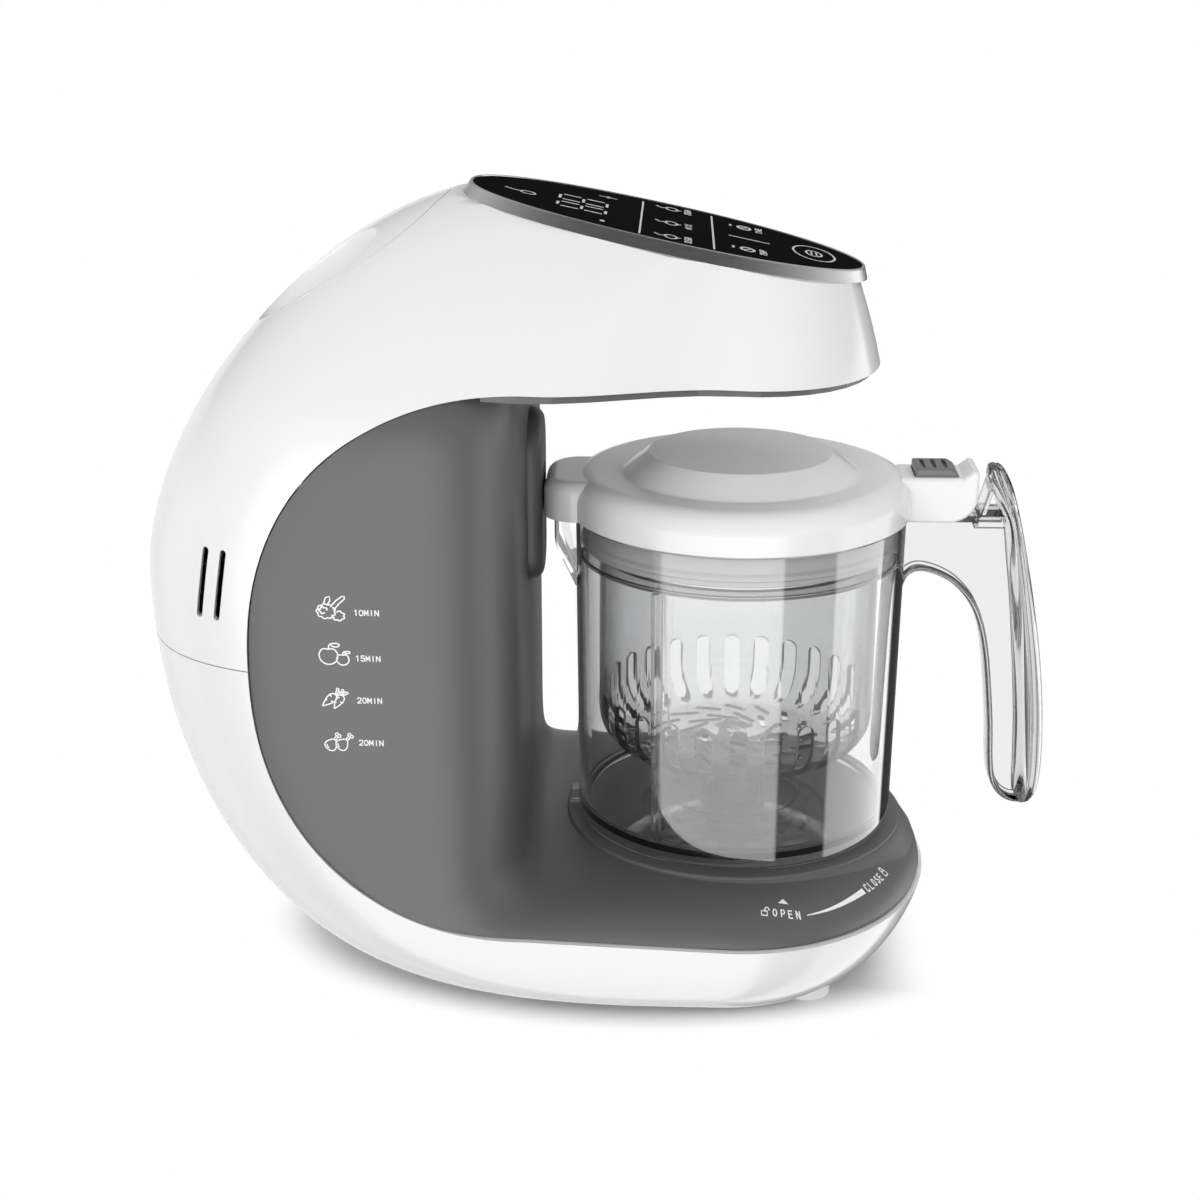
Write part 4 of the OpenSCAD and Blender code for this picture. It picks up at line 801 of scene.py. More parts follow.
class STEAMER_OT_panel(bpy.types.Operator):
    """Make the metal ring and the black touch panel"""
    bl_idname = "steamer.panel"
    bl_label = "Touch panel"

    def execute(self, context):
        tall, wide, lean = BODY.bezel, BODY.bezel_width, BEZEL_LEAN
        section = [(0.0, -tall), (lean, -0.6), (lean + 0.15, -0.25), (lean + 0.4, -0.05), (wide - 0.5, 0.0),
                   (wide - 0.15, -0.1), (wide, -0.4), (wide, -tall)]
        ring = lofted([[(x, y, z) for x, y in panel_outline(inset)] for inset, z in section], around=True)
        piece(turned(ring, ON_PANEL), "panel_bezel_ring", "housing", "bezel_metal", ["panel_bezel"])
        glass = slab(panel_outline(wide + GLASS_GAP), tall - BODY.glass_drop, low=-tall)
        soften(glass, GLASS_SOFT, 2, 60)
        piece(turned(glass, ON_PANEL), "touch_panel_glass", "housing", "panel_black", ["touch_panel"])
        return {"FINISHED"}


# Jar: roundings, its floor over its foot, the collar's hole, the ribs and the small lug at the foot.
FOOT_ROUND, FLOOR_ROUND, FLOOR_LOW, FLOOR_HIGH, COLLAR_HOLE = 1.8, 3.0, 3.6, 5.0, 22.3
RIB_ANGLES, RIB_DEEP, RIB_HALF, RIB_TOP = (-1, 119, 239), 3.0, 1.0, 136.9
LUG_OUT, LUG_HALF, LUG_HIGH, LUG_SOFT = 2.6, 3.0, 5.2, 0.6
SPOUT_HALF, SPOUT_TALL = 13.0, 24.0
# Rows of the handle's bar from its top: height, inner and outer edge in front of the jar's axis, half width.
HANDLE_BAR = ((168, 83.6, 84.6, 2), (167.4, 81.9, 86.6, 5.5), (164, 81.6, 88.8, 8), (159, 83.4, 90.8, 9),
              (149, 87.6, 93.6, 9), (135, 89.7, 96.8, 9), (121, 91.6, 99.7, 9), (106.6, 93.1, 102.3, 9),
              (92, 94.5, 104.3, 9), (77.3, 95.6, 105.6, 9), (63, 96.2, 106.0, 9), (54, 96.5, 105.2, 8.6),
              (49.5, 97.2, 103.4, 6.6), (47.4, 98.6, 101.4, 3), (47, 99.8, 100.2, 1))
# Grooves along the bar: depth as a share of the half width, place and width round the bar.
GROOVE_DEEP, GROOVE_AT, GROOVE_WIDE = 0.42, 0.3, 0.17
# Underside of the handle's arch and the inner edge of its web, from the jar to the lower end.
HANDLE_UNDER = ((55.0, 126.0), (56.8, 130.2), (60.5, 132.0), (66.5, 130.6), (72.5, 127.0), (78.0, 120.4),
                (81.3, 112.0), (83.4, 102.0), (84.9, 90.0), (86.2, 77.0), (87.0, 64.0), (88.2, 57.0),
                (91.0, 51.6), (95.0, 48.8), (99.0, 48.2))
# Web: drop of its top under the lid, shift off the arch, ends; bead: half width, middle and thickness.
WEB_DROP, WEB_IN, WEB_OUT, WEB_LOW, WEB_FIRST = 3.2, 1.3, 90.0, 53.0, 6
BEAD_HALF, BEAD_MIDDLE, BEAD_THICK = 5.4, 1.1, 1.25
# Mesh steps between the handle's rows, and round its bar and its bead.
BAR_STEPS, UNDER_STEPS, BAR_AROUND, BEAD_AROUND = 9, 6, 108, 40
# Clear catches behind the lid's arm: outlines from the arm's end and the web's top, and half widths.
CATCHES = ((((-1.5, -1), (9, -1), (9, 3.2), (0.6, 3.2), (-1.5, 2)), 8.0),
           (((0.8, 3), (2.6, 3), (5.6, 14.5), (4.0, 14.5)), 6.5))


def jar_radius(z):
    share = (z - JAR.bottom) / (LID.low - JAR.bottom)
    return JAR.foot + (JAR.top - JAR.foot) * share


def smooth_line(points, steps):
    """A soft curve through points of any number of values."""
    line = []
    for i in range(len(points) - 1):
        a, b, c, d = (Vector(points[min(max(i + k, 0), len(points) - 1)]) for k in (-1, 0, 1, 2))
        for k in range(steps):
            t = k / steps
            line.append(tuple(0.5 * (2 * b + (c - a) * t + (2 * a - 5 * b + 4 * c - d) * t ** 2
                                     + (3 * b - a - 3 * c + d) * t ** 3)))
    return line + [tuple(points[-1])]


def squared(u, power_c, power_s):
    """Cosine and sine of a share of a turn, each bent by a power."""
    c, s = math.cos(2 * math.pi * u), math.sin(2 * math.pi * u)
    return math.copysign(abs(c) ** power_c, c), math.copysign(abs(s) ** power_s, s)


class STEAMER_OT_jar(bpy.types.Operator):
    """Make the clear jar with its spout and its handle"""
    bl_idname = "steamer.jar"
    bl_label = "Jar and handle"

    def execute(self, context):
        foot, top, wall, low = JAR.foot, JAR.top, JAR.wall, JAR.bottom
        shoulder, rim = LID.low - 0.3, LID.radius - LID.wall - 0.3
        bore, bore_top = foot - wall, top - wall
        floor_low, floor_high = low + FLOOR_LOW, low + FLOOR_HIGH
        section = [(bore, low)] + arc(foot - FOOT_ROUND, low + FOOT_ROUND, FOOT_ROUND, -90, 0)
        section += [(top, shoulder - 0.4), (top - 0.3, shoulder), (rim, shoulder), (rim, RIM_Z - 0.4),
                    (rim - 0.4, RIM_Z), (bore_top + 0.3, RIM_Z), (bore_top, RIM_Z - 0.4),
                    (bore_top, shoulder)]
        section += arc(bore - FLOOR_ROUND, floor_high + FLOOR_ROUND, FLOOR_ROUND, 0, -90, 8)
        section += [(COLLAR_HOLE, floor_high), (COLLAR_HOLE, floor_low), (bore, floor_low)]
        jar = lathe(section, 192)
        for angle in RIB_ANGLES:
            rib = block((bore - RIB_DEEP, -RIB_HALF, floor_high - 1), (bore + 0.8 * wall, RIB_HALF, RIB_TOP))
            jar = added(jar, placed(rib, angle=angle))
        lug = block((-foot - LUG_OUT, -LUG_HALF, low + 0.1), (-foot + 1, LUG_HALF, low + LUG_HIGH))
        jar = added(jar, soften(lug, LUG_SOFT))
        piece(self.spout(jar, bore), "jar_clear", "jar_set", "clear_plastic", ["jar"])
        self.handle()
        return {"FINISHED"}

    def spout(self, jar, bore):
        reach, edge, foot, wall = JAR.spout, LID.low, JAR.foot, JAR.wall
        lip = slab([(-foot, edge - SPOUT_TALL), (-reach - 3, edge - 1), (-bore - 1, edge - 1),
                    (-bore - 1, edge - SPOUT_TALL)], 2 * SPOUT_HALF, upright=True)
        jar = added(jar, kept(lip, drum(reach, 100, 200, steps=192)))
        low = edge - SPOUT_TALL + 6
        channel = [(-foot - 1.5, low), (-reach + wall, edge), (-reach + wall, RIM_Z + 1),
                   (-bore + wall, RIM_Z + 1), (-bore + wall, low)]
        return cut(jar, slab(channel, 2 * (SPOUT_HALF - wall), upright=True))

    def handle(self):
        """A bar leans out from the rim and hangs free, with a beaded web between it and the jar."""
        rows, under = smooth_line(HANDLE_BAR, BAR_STEPS), smooth_line(HANDLE_UNDER, UNDER_STEPS)
        web_top, root, arm_end = LID.low - WEB_DROP, JAR.top - 0.3, LID.arm_reach + 0.6

        def bar(u, v):
            z, near, far, half = rows[round(v * (len(rows) - 1))]
            c, s = squared(u, 1, 0.75)
            groove = 1 - GROOVE_DEEP * math.exp(-((c - GROOVE_AT) / GROOVE_WIDE) ** 2)
            return (near + far) / 2 + c * (far - near) / 2, s * half * groove, z

        def beside(i, off):
            """A point of the underside's curve, moved off it into the web."""
            before, after = under[max(0, i - 1)], under[min(len(under) - 1, i + 1)]
            way = Vector((after[0] - before[0], after[1] - before[1])).normalized()
            return under[i][0] - way.y * off, under[i][1] + way.x * off

        def bead(u, v):
            c, s = squared(u, 0.8, 0.6)
            x, z = beside(round(v * (len(under) - 1)), BEAD_MIDDLE - BEAD_THICK * c)
            return x, BEAD_HALF * s, z
        grip, lip = bmesh.new(), bmesh.new()
        sheet(grip, BAR_AROUND, len(rows) - 1, bar)
        sheet(lip, BEAD_AROUND, len(under) - 1, bead)
        back = [((near + far) / 2, z) for z, near, far, _ in rows if WEB_LOW < z < web_top - 2]
        inner = [beside(i, WEB_IN) for i in range(WEB_FIRST, len(under))]
        web = [(root, web_top), (WEB_OUT, web_top)] + back + inner[::-1] + [(root, inner[0][1])]
        whole = added(close(grip), slab(web, JAR.web, upright=True), close(lip))
        for points, half in CATCHES:
            catch = slab([(arm_end + x, web_top + z) for x, z in points], 2 * half, upright=True)
            whole = added(whole, soften(catch, 0.5, 3, 50))
        jar_space = drum(JAR.foot + 0.05, JAR.bottom, LID.low, steps=192, top_radius=JAR.top + 0.05)
        whole = cut(whole, jar_space, block((0, -FAR, web_top), (arm_end, FAR, FAR)))
        piece(whole, "jar_handle_clear", "jar_set", "clear_plastic", ["jar_handle"], "clear_grip")


# Basket: its risen floor, corner and rim; the lathe leaves a small eye in the middle that a drum fills.
BASKET_RISE, BASKET_CORNER, BASKET_RIM, BASKET_EYE, BASKET_PLUG = 3.2, 15.0, 139.0, 0.6, 2.0
WALL_SLOTS, WALL_SLOT_TALL, WALL_SLOT_LOW, WALL_SLOT_DEEP = 26, 20.5, 2.0, 26.0
# Rings of slots in the floor: number, distance from the middle and length.
FLOOR_SLOTS = ((12, 14.0, 12.0), (16, 25.5, 10.0))
FLOOR_SLOT_WIDE, FLOOR_SLOT_DEEP, FLOOR_SLOT_TURN, FLOOR_SLOT_SHIFT = 2.0, 14.0, -40.0, 28.0


class STEAMER_OT_basket(bpy.types.Operator):
    """Make the clear steam basket with its slots"""
    bl_idname = "steamer.basket"
    bl_label = "Steam basket"

    def execute(self, context):
        bowl = cut(self.bowl(), joined(self.bars()))
        basket = piece(bowl, "steam_basket_clear", "basket", "clear_plastic", ["steam_basket"],
                       "clear_basket")
        self.mark_slot_shade(basket)
        return {"FINISHED"}

    def bowl(self):
        r, w, low, corner, high = JAR.basket, JAR.basket_wall, JAR.basket_low, BASKET_CORNER, BASKET_RIM
        floor, rim = low + BASKET_RISE, jar_radius(high) - JAR.wall - 0.6
        section = [(BASKET_EYE, floor)] + arc(r - corner, low + corner, corner, -90, 0, 12)
        section += [(r, high - w), (rim - 0.4, high - w), (rim, high - w + 0.4), (rim, high - 0.4),
                    (rim - 0.4, high), (r - w + 0.4, high), (r - w, high - 0.4)]
        section += arc(r - corner, low + corner, corner - w, 0, -90, 12) + [(BASKET_EYE, floor + w)]
        return added(lathe(section, 208), drum(BASKET_PLUG, floor - 0.1, floor + w - 0.1, steps=24))

    def bars(self):
        """Bars that cut the slots in the wall and the floor."""
        bars = []
        for i in range(WALL_SLOTS):
            bar = placed(slot_bar(JAR.slot, WALL_SLOT_TALL, WALL_SLOT_DEEP), angle=90)
            placed(bar, (JAR.basket, 0, JAR.basket_low + WALL_SLOT_LOW + WALL_SLOT_TALL / 2))
            bars.append(placed(bar, angle=360 * (i + 0.5) / WALL_SLOTS))
        for number, out, span in FLOOR_SLOTS:
            for i in range(number):
                bar = placed(slot_bar(FLOOR_SLOT_WIDE, span, FLOOR_SLOT_DEEP), angle=90, axis="X")
                placed(bar, (out, 0, JAR.basket_low), FLOOR_SLOT_TURN)
                bars.append(placed(bar, angle=360 * (i + out / FLOOR_SLOT_SHIFT) / number))
        return bars

    def mark_slot_shade(self, basket):
        """Marks the faces inside the slots, which get a painted shade."""
        low, corner, back = JAR.basket_low, BASKET_CORNER, PLACE.inverted()
        floor_high, floor_out = low + BASKET_RISE + JAR.basket_wall + 0.5, JAR.basket - corner + 3
        wall_low, wall_high = low + WALL_SLOT_LOW, low + WALL_SLOT_TALL + 3
        marks = basket.data.attributes.new(SLOT_SHADE_FACE, "FLOAT", "FACE")
        for face, slot_shade_mask in zip(basket.data.polygons, marks.data):
            x, y, z = back @ face.center
            way, side = Vector((x, y)).normalized(), face.normal.xy
            steep = abs(way.cross(side)) > 0.4 or (z > low + corner and abs(way.dot(side)) < 0.5)
            in_floor = 4 < math.hypot(x, y) < floor_out and z < floor_high and abs(face.normal.z) < 0.6
            in_wall = wall_low < z < wall_high and steep
            slot_shade_mask.value = 1.0 if in_floor or in_wall else 0.0


# Lid: rounding of the raised middle, the lathe's eye and its plug, the steam's hole, the button's opening.
CROWN_ROUND, CROWN_EYE, CROWN_PLUG, STEAM_BORE, BUTTON_ROOM = 0.9, 0.4, 1.5, 4.5, 14.6
TAB_REACH, TAB_ROOT, TAB_ROUND, TAB_EDGE, TAB_DROP = 64.8, -34.0, 11.0, 4.5, 0.8
# Latch arm: its start inside the rim, its corner, and the height of the stop at its end.
ARM_IN, ARM_ROUND, ARM_STOP, ARM_SOFT = 5.0, 9.0, 2.4, 1.2
# Button: length, height over the lid and depth under it, and the hollow for its spring.
BUTTON_LONG, BUTTON_HIGH, BUTTON_DEEP, BUTTON_SOFT = 14.0, 2.3, 4.4, 0.7
SPRING_X, SPRING_ROOM, SPRING_DEEP = 64.3, 4.0, 2.8
SEAL_GAP, SEAL_LIP, SEAL_THICK = 0.45, 1.2, 2.4


class STEAMER_OT_lid(bpy.types.Operator):
    """Make the white lid, its seal and its release button"""
    bl_idname = "steamer.lid"
    bl_label = "Lid"

    def profile(self, t):
        """Half section of the lid's skin, t below its surface."""
        top, r, e, d = LID.low + LID.rim - t, LID.middle - 0.6 * t, LID.edge_round, CROWN_ROUND
        foot, dip = r + LID.flank, top - LID.dish
        points = arc(LID.radius - t - e, top - e, e, 0, 90, 16)
        points += [(foot + 1.6, dip + 0.06), (foot + 0.5, dip), (foot - 0.4, dip + 0.3)]
        return points + arc(r - d, top + LID.rise - d, d, 40, 90, 6)

    def execute(self, context):
        low, radius, wall, arm = LID.low, LID.radius, LID.wall, LID.arm
        top = low + LID.rim
        crown = top + LID.rise
        section = [(radius - 0.5, low), (radius, low + 0.5)] + self.profile(0) + [(CROWN_EYE, crown)]
        section += [(CROWN_EYE, crown - wall)] + self.profile(wall)[::-1]
        section += [(radius - wall, low + 0.3), (radius - wall + 0.3, low)]
        lid = added(lathe(section, 192), drum(CROWN_PLUG, crown - wall, crown, steps=24))
        lid = added(lid, self.tab(0, low, top - TAB_DROP), self.arm(arm))
        lid = cut(lid, self.tab(wall, low - 1, top - TAB_DROP - wall))
        pocket = slab(self.arm_side(wall), 2 * (arm - wall), upright=True)
        opening = block((radius, wall - arm, top - 5), (radius + BUTTON_ROOM, arm - wall, FAR))
        clear_jar = drum(JAR.top + 0.3, low - 3, low, steps=192)
        lid = cut(lid, pocket, opening, clear_jar, steam_hole(STEAM_BORE, -TAB_REACH, 8))
        for inset, high in ((wall + 0.05, top - LID.edge_round - 1), (wall + 5.5, top - wall - 0.7)):
            lid = cut(lid, drum(radius - inset, low - 1, high, steps=192))
        piece(lid, "lid_white", "lid_set", "white_shell", ["lid"])
        self.seal(low)
        self.button(radius, top)
        return {"FINISHED"}

    def tab(self, inset, low, high):
        """The round-cornered tab over the steam outlet, with a soft upper edge."""
        half, edge, centre = LID.tab, TAB_EDGE - inset, TAB_ROUND - TAB_REACH
        rows = [(low, inset)]
        for a in (math.pi / 16 * k for k in range(9)):
            rows.append((high - edge * (1 - math.sin(a)), inset + edge * (1 - math.cos(a))))
        rings = []
        for z, off in rows:
            plan = [(TAB_ROOT, half - off)] + arc(centre, half - TAB_ROUND, TAB_ROUND - off, 90, 180, 12)
            plan += arc(centre, TAB_ROUND - half, TAB_ROUND - off, 180, 270, 12) + [(TAB_ROOT, off - half)]
            rings.append([(x, y, z) for x, y in plan])
        return lofted(rings)

    def arm_side(self, inset):
        top, low = LID.low + LID.rim - 0.4, LID.low - 2 + inset
        start, end, r = LID.radius - ARM_IN, LID.arm_reach - inset, ARM_ROUND - inset
        points = [(start, low)] + arc(end - r, low + r, r, -90, 0, 10)
        if inset:
            return points + [(end, top - inset), (start, top - inset)]
        return points + [(end, top + ARM_STOP), (end - 2, top + ARM_STOP), (end - 5, top), (start, top)]

    def arm(self, half):
        return soften(slab(self.arm_side(0), 2 * half, upright=True), ARM_SOFT, 4, 60)

    def seal(self, low):
        lip = JAR.top - JAR.wall - SEAL_GAP
        out = lip - SEAL_LIP
        inside = out - SEAL_THICK
        section = [(inside, low - 11), (out - 0.4, low - 11), (out, low - 10.6), (out, low - 9.2),
                   (lip, low - 8.4), (lip, low - 7.2), (out, low - 6.4), (out, low + 11.6),
                   (inside, low + 11.6)]
        ring = cut(lathe(section, 160), steam_hole(STEAM_BORE, -out, 8))
        piece(ring, "lid_seal_grey", "lid_set", "soft_rubber", ["lid_seal"], "silicone")

    def button(self, radius, top):
        start, half, low, high = radius + 0.3, LID.arm - LID.wall - 0.3, top - BUTTON_DEEP, top + BUTTON_HIGH
        end = start + BUTTON_LONG
        side = [(start, low), (end + 1.6, low), (end + 1.6, low + 1.5), (end, low + 1.5), (end, high - 1.6),
                (end - 2.5, high), (start, high)]
        key = soften(slab(side, 2 * half, upright=True), BUTTON_SOFT, 3, 30)
        for i in (-1, 0, 1):
            groove = placed(slot_bar(1.4, 1.5 * half, 2.2), angle=90, axis="X")
            key = cut(key, placed(groove, ((start + end) / 2 - 0.6 + 3.6 * i, 0, high)))
        key = cut(key, drum(SPRING_ROOM, low - 1, low + SPRING_DEEP, (SPRING_X, 0), steps=48))
        piece(key, "lid_button_grey", "button", "grey_plastic", ["lid_button"], "button")


# Printed signs, drawn flat in millimetres round their own middle.
LINE, PADLOCK_LINE, FILM = 0.42, 0.4, 0.1


def ribbon(points, width=LINE, closed=False, ends=(1.0, 1.0)):
    """A painted line along points; ends are the shares of its width at its start and its end."""
    dots = [Vector(p) for p in points]
    count = len(dots)
    steps = count if closed else count - 1

    def place(u, v):
        i = round(v * steps)
        before = dots[(i - 1) % count] if closed else dots[max(0, i - 1)]
        after = dots[(i + 1) % count] if closed else dots[min(count - 1, i + 1)]
        way = (after - before).normalized()
        side = (u - 0.5) * width * (ends[0] + (ends[1] - ends[0]) * v)
        at = dots[i % count]
        return at.x - way.y * side, at.y + way.x * side, 0
    bm = bmesh.new()
    sheet(bm, 1, steps, place)
    bmesh.ops.remove_doubles(bm, verts=bm.verts[:], dist=MERGE)
    return bm


def oval(cx, cy, rx, ry, start=0, end=360, steps=28):
    """Points round an oval; a whole one leaves out its last point."""
    angles = [math.radians(start + (end - start) * k / steps) for k in range(steps + (end - start < 360))]
    return [(cx + rx * math.cos(a), cy + ry * math.sin(a)) for a in angles]


def spot(cx, cy, rx, ry, corners=20):
    bm = bmesh.new()
    bmesh.ops.create_circle(bm, cap_ends=True, segments=corners, radius=1.0)
    return turned(bm, Matrix.Translation((cx, cy, 0)) @ Matrix.Diagonal((rx, ry, 1, 1)))


# Letters as strokes in a unit square.
ROUND = ((0.5, 1), (0.15, 0.9), (0, 0.65), (0, 0.35), (0.15, 0.1), (0.5, 0), (0.85, 0.1), (1, 0.35),
         (1, 0.65), (0.85, 0.9), (0.5, 1))
LETTERS = {
    "0": (ROUND,), "O": (ROUND,),
    "1": (((0.2, 0.8), (0.55, 1), (0.55, 0)),),
    "2": (((0, 0.75), (0.12, 0.95), (0.5, 1), (0.9, 0.94), (1, 0.72), (0.8, 0.48), (0, 0), (1, 0)),),
    "5": (((0.95, 1), (0.1, 1), (0.05, 0.56), (0.5, 0.64), (0.95, 0.5), (1, 0.3), (0.85, 0.06), (0.45, 0),
           (0, 0.12)),),
    "A": (((0, 0), (0.5, 1), (1, 0)), ((0.2, 0.36), (0.8, 0.36))),
    "C": (((1, 0.82), (0.75, 1), (0.25, 1), (0, 0.72), (0, 0.28), (0.25, 0), (0.75, 0), (1, 0.18)),),
    "E": (((1, 1), (0, 1), (0, 0), (1, 0)), ((0, 0.52), (0.85, 0.52))),
    "I": (((0.5, 0), (0.5, 1)),),
    "L": (((0, 1), (0, 0), (0.9, 0)),),
    "M": (((0, 0), (0, 1), (0.5, 0.3), (1, 1), (1, 0)),),
    "N": (((0, 0), (0, 1), (1, 0), (1, 1)),),
    "P": (((0, 0), (0, 1), (0.7, 1), (1, 0.88), (1, 0.6), (0.7, 0.46), (0, 0.46)),),
    "S": (((0.95, 0.84), (0.6, 1), (0.2, 0.97), (0.02, 0.76), (0.25, 0.55), (0.75, 0.45), (1, 0.25),
           (0.8, 0.03), (0.4, 0), (0.03, 0.16)),),
    "T": (((0, 1), (1, 1)), ((0.5, 1), (0.5, 0))),
    "X": (((0, 0), (1, 1)), ((0, 1), (1, 0)))}
LETTER_FILL = 0.7


def words(text, wide, tall, stroke):
    """Painted letters side by side, round their middle."""
    pitch = wide / (len(text) - 1 + LETTER_FILL)
    parts = []
    for i, letter in enumerate(text):
        for line in LETTERS[letter]:
            points = [Vector(((i + LETTER_FILL * x) * pitch - wide / 2, (y - 0.5) * tall)) for x, y in line]
            for a, b in zip(points, points[1:]):
                over = stroke / 3 * (b - a).normalized()
                parts.append(ribbon([a - over, b + over], stroke))
    return joined(parts)


def greens_sign():
    """A head of leaves with its stalks."""
    def frill(cx, cy, r, bumps, start, end):
        points = []
        for a in (math.radians(start + (end - start) * k / 60) for k in range(61)):
            out = r + 0.5 * abs(math.sin(bumps * a / 2))
            points.append((cx + out * math.cos(a), cy + 0.8 * out * math.sin(a)))
        return ribbon(points)
    marks = [frill(-1.6, -0.9, 2.5, 9, 60, 400), frill(2.2, -2.2, 1.5, 7, -190, 110),
             frill(-2.4, -0.6, 0.9, 5, 0, 300)]
    for s in (0.0, 1.0):
        marks.append(ribbon([(-0.2 + s, 0.6 - s), (1.6 + s, 2.6 - 0.8 * s), (3.4 + 0.8 * s, 4.0 - 0.8 * s)]))
    marks.append(ribbon([(3.4, 4.0), (4.2, 4.1), (4.2, 3.2)]))
    marks.append(ribbon([(-2.2, 1.6), (-1.6, 3.4), (-0.4, 3.9), (-0.2, 2.6), (-1.0, 1.4)]))
    return joined(marks)


def apples_sign():
    """Two apples with stalks and leaves."""
    marks = []
    for cx, cy, r in ((-1.7, -0.5, 2.9), (2.7, -1.5, 1.9)):
        body = []
        for k in range(40):
            a = 2 * math.pi * k / 40
            dent = 1 - 0.24 * math.exp(-((k - 10) / 3) ** 2)
            body.append((cx + r * dent * math.cos(a), cy + 0.96 * r * dent * math.sin(a)))
        stalk = [(cx, cy + 0.7 * r), (cx + 0.05 * r, cy + 1.1 * r), (cx + 0.3 * r, cy + 1.4 * r)]
        leaf = oval(cx + 0.75 * r, cy + 1.2 * r, 0.45 * r, 0.2 * r, steps=16)
        marks += [ribbon(body, closed=True), ribbon(stalk), ribbon(leaf, closed=True)]
    return joined(marks)


def carrots_sign():
    """Two carrots with their leaves."""
    marks = []
    for cx, cy, angle, size in ((-1.2, -0.6, 42, 1.0), (1.6, -1.0, 58, 0.9)):
        root = []
        for a in (2 * math.pi * k / 36 for k in range(36)):
            c, s = math.cos(a), math.sin(a)
            root.append((3.0 * c - 0.8 * (1 + c) * 0.2, 1.1 * s * (1.15 + 0.75 * c) * 0.9))
        lines = [ribbon(root, closed=True)]
        for x, side in ((1.2, 1), (0.2, -1), (-0.8, 1)):
            lines.append(ribbon([(x, side * 1.2), (x + 0.1, side * 0.4)]))
        for lean in (-0.9, 0.0, 0.9):
            lines.append(ribbon([(2.7, lean * 0.2), (3.6, lean * 0.8), (4.6, lean * 1.5), (4.9, lean * 0.9),
                                 (3.9, lean * 0.2)]))
        marks += [placed(bm, (cx, cy, 0), angle, size=size) for bm in lines]
    return joined(marks)


def drumsticks_sign():
    """Two drumsticks."""
    marks = []
    for cx, cy, angle in ((-1.8, -0.9, 55), (1.7, -0.6, 48)):
        angles = [2 * math.pi * k / 36 for k in range(36)]
        meat = [(2.2 * math.cos(a), 1.9 * math.sin(a) * (1 - 0.35 * math.cos(a))) for a in angles]
        lines = [ribbon(meat, closed=True), ribbon(oval(-0.4, 0.3, 1.1, 1.0, 110, 200, 8))]
        for side in (-1, 1):
            lines.append(ribbon([(2.2, -0.35 * side), (4.0, -0.35 * side)]))
            lines.append(ribbon(oval(4.3, side * 0.5, 0.55, 0.5, steps=14), closed=True))
        marks += [placed(bm, (cx, cy, 0), angle, size=0.92) for bm in lines]
    return joined(marks)


def padlock_sign(opened):
    body = [(-0.95, -1.3), (0.95, -1.3), (0.95, 0.2), (-0.95, 0.2)]
    bow = oval(0.9 if opened else 0, 0.5, 0.7, 1.1, 0, 215 if opened else 180, 12)
    legs = [[(0.2, 0.2), (0.2, 0.7)]] if opened else [[bow[-1], (-0.7, 0.2)], [bow[0], (bow[0][0], 0.2)]]
    return joined([ribbon(body, PADLOCK_LINE, True)] + [ribbon(line, PADLOCK_LINE) for line in (bow, *legs)])


# Signs on the side: drawing, place of its middle, and the label's words and height.
SIDE_SIGNS = ((greens_sign, -124.4, 143.4, "10MIN", 142.4), (apples_sign, -124.1, 128.8, "15MIN", 127.8),
              (carrots_sign, -124.9, 114.4, "20MIN", 114.1), (drumsticks_sign, -124.4, 99.9, "20MIN", 100.1))
SIDE_LABEL_X, SIDE_LABEL = -113.7, (7.4, 1.7, 0.34)
# Letters on the deck: letter, place of its middle and its turn.
DECK_LETTERS = (("O", 12.0, -71.4, 3), ("P", 14.6, -71.2, 5), ("E", 17.0, -70.9, 8), ("N", 19.5, -70.4, 10),
                ("C", 43.0, -50.7, 55), ("L", 44.4, -48.8, 57), ("O", 45.7, -46.8, 59),
                ("S", 46.9, -44.8, 61), ("E", 48.0, -42.9, 63))
DECK_LETTER, DECK_OVER = (1.1, 2.2, 0.36), 60.0
# Further marks on the deck: an open and a closed padlock, an arrow, and a line that widens along its sweep.
PADLOCKS = ((True, 8.6, -71.6, 2), (False, 49.4, -39.6, 66))
ARROW, SWEEP, SWEEP_WIDE = (14.8, -66.9, 1.95, 1.3, 3), ((22.4, -69.6), (33.2, -64.3), (41.9, -52.5)), 1.7
# Touch panel: lines as width and points, closed rings as width and oval, spots, and labels with their places.
PANEL_LINES = ((0.6, ((-11.6, -36), (-11.6, 32))), (0.6, ((11.75, -35), (11.75, 32.6))),
               (0.9, ((17, -0.5), (30.5, -0.5))), (0.7, ((-26.4, 23.9), (-20.2, 23.9))),
               (0.8, ((-56, -1), (-53.5, -2.6), (-50.7, -2.8))),
               (0.6, ((44.2, -3), (44.2, 3))), (0.6, ((45.8, -3), (45.8, 3))))
PANEL_RINGS = ((0.7, (-48.4, -3.2, 2.3, 2.6)), (0.7, (45, 0, 6.8, 12.9, 0, 360, 48)),
               (0.7, (45, 0, 2.6, 5.0)))
PANEL_SPOTS = ((-23.2, 23.9, 0.9, 1.6), (-23.4, -27.4, 0.8, 1.5))
PANEL_LABELS = (("STEAM", 3.6, 28.7), ("MIX", 3.8, -2.0), ("CLEAN", 3.6, -29.0), ("TIME", 27.6, 22.0),
                ("TEMP", 27.6, -21.0))
PANEL_LABEL = (9.5, 1.9, 0.5)
# Digits of the panel: their left and right edges, and the places of their bars; then the rows of its keys.
DIGITS, DIGIT_LEVELS, DIGIT_SIDES = ((-14.5, -5.5), (-0.5, 9.5)), (-38.4, -30.7, -23.0), (-37.4, -29.7)
KEY_ROWS, DIAL_ROWS = (28.7, -2.0, -29.0), (22.1, -21.0)


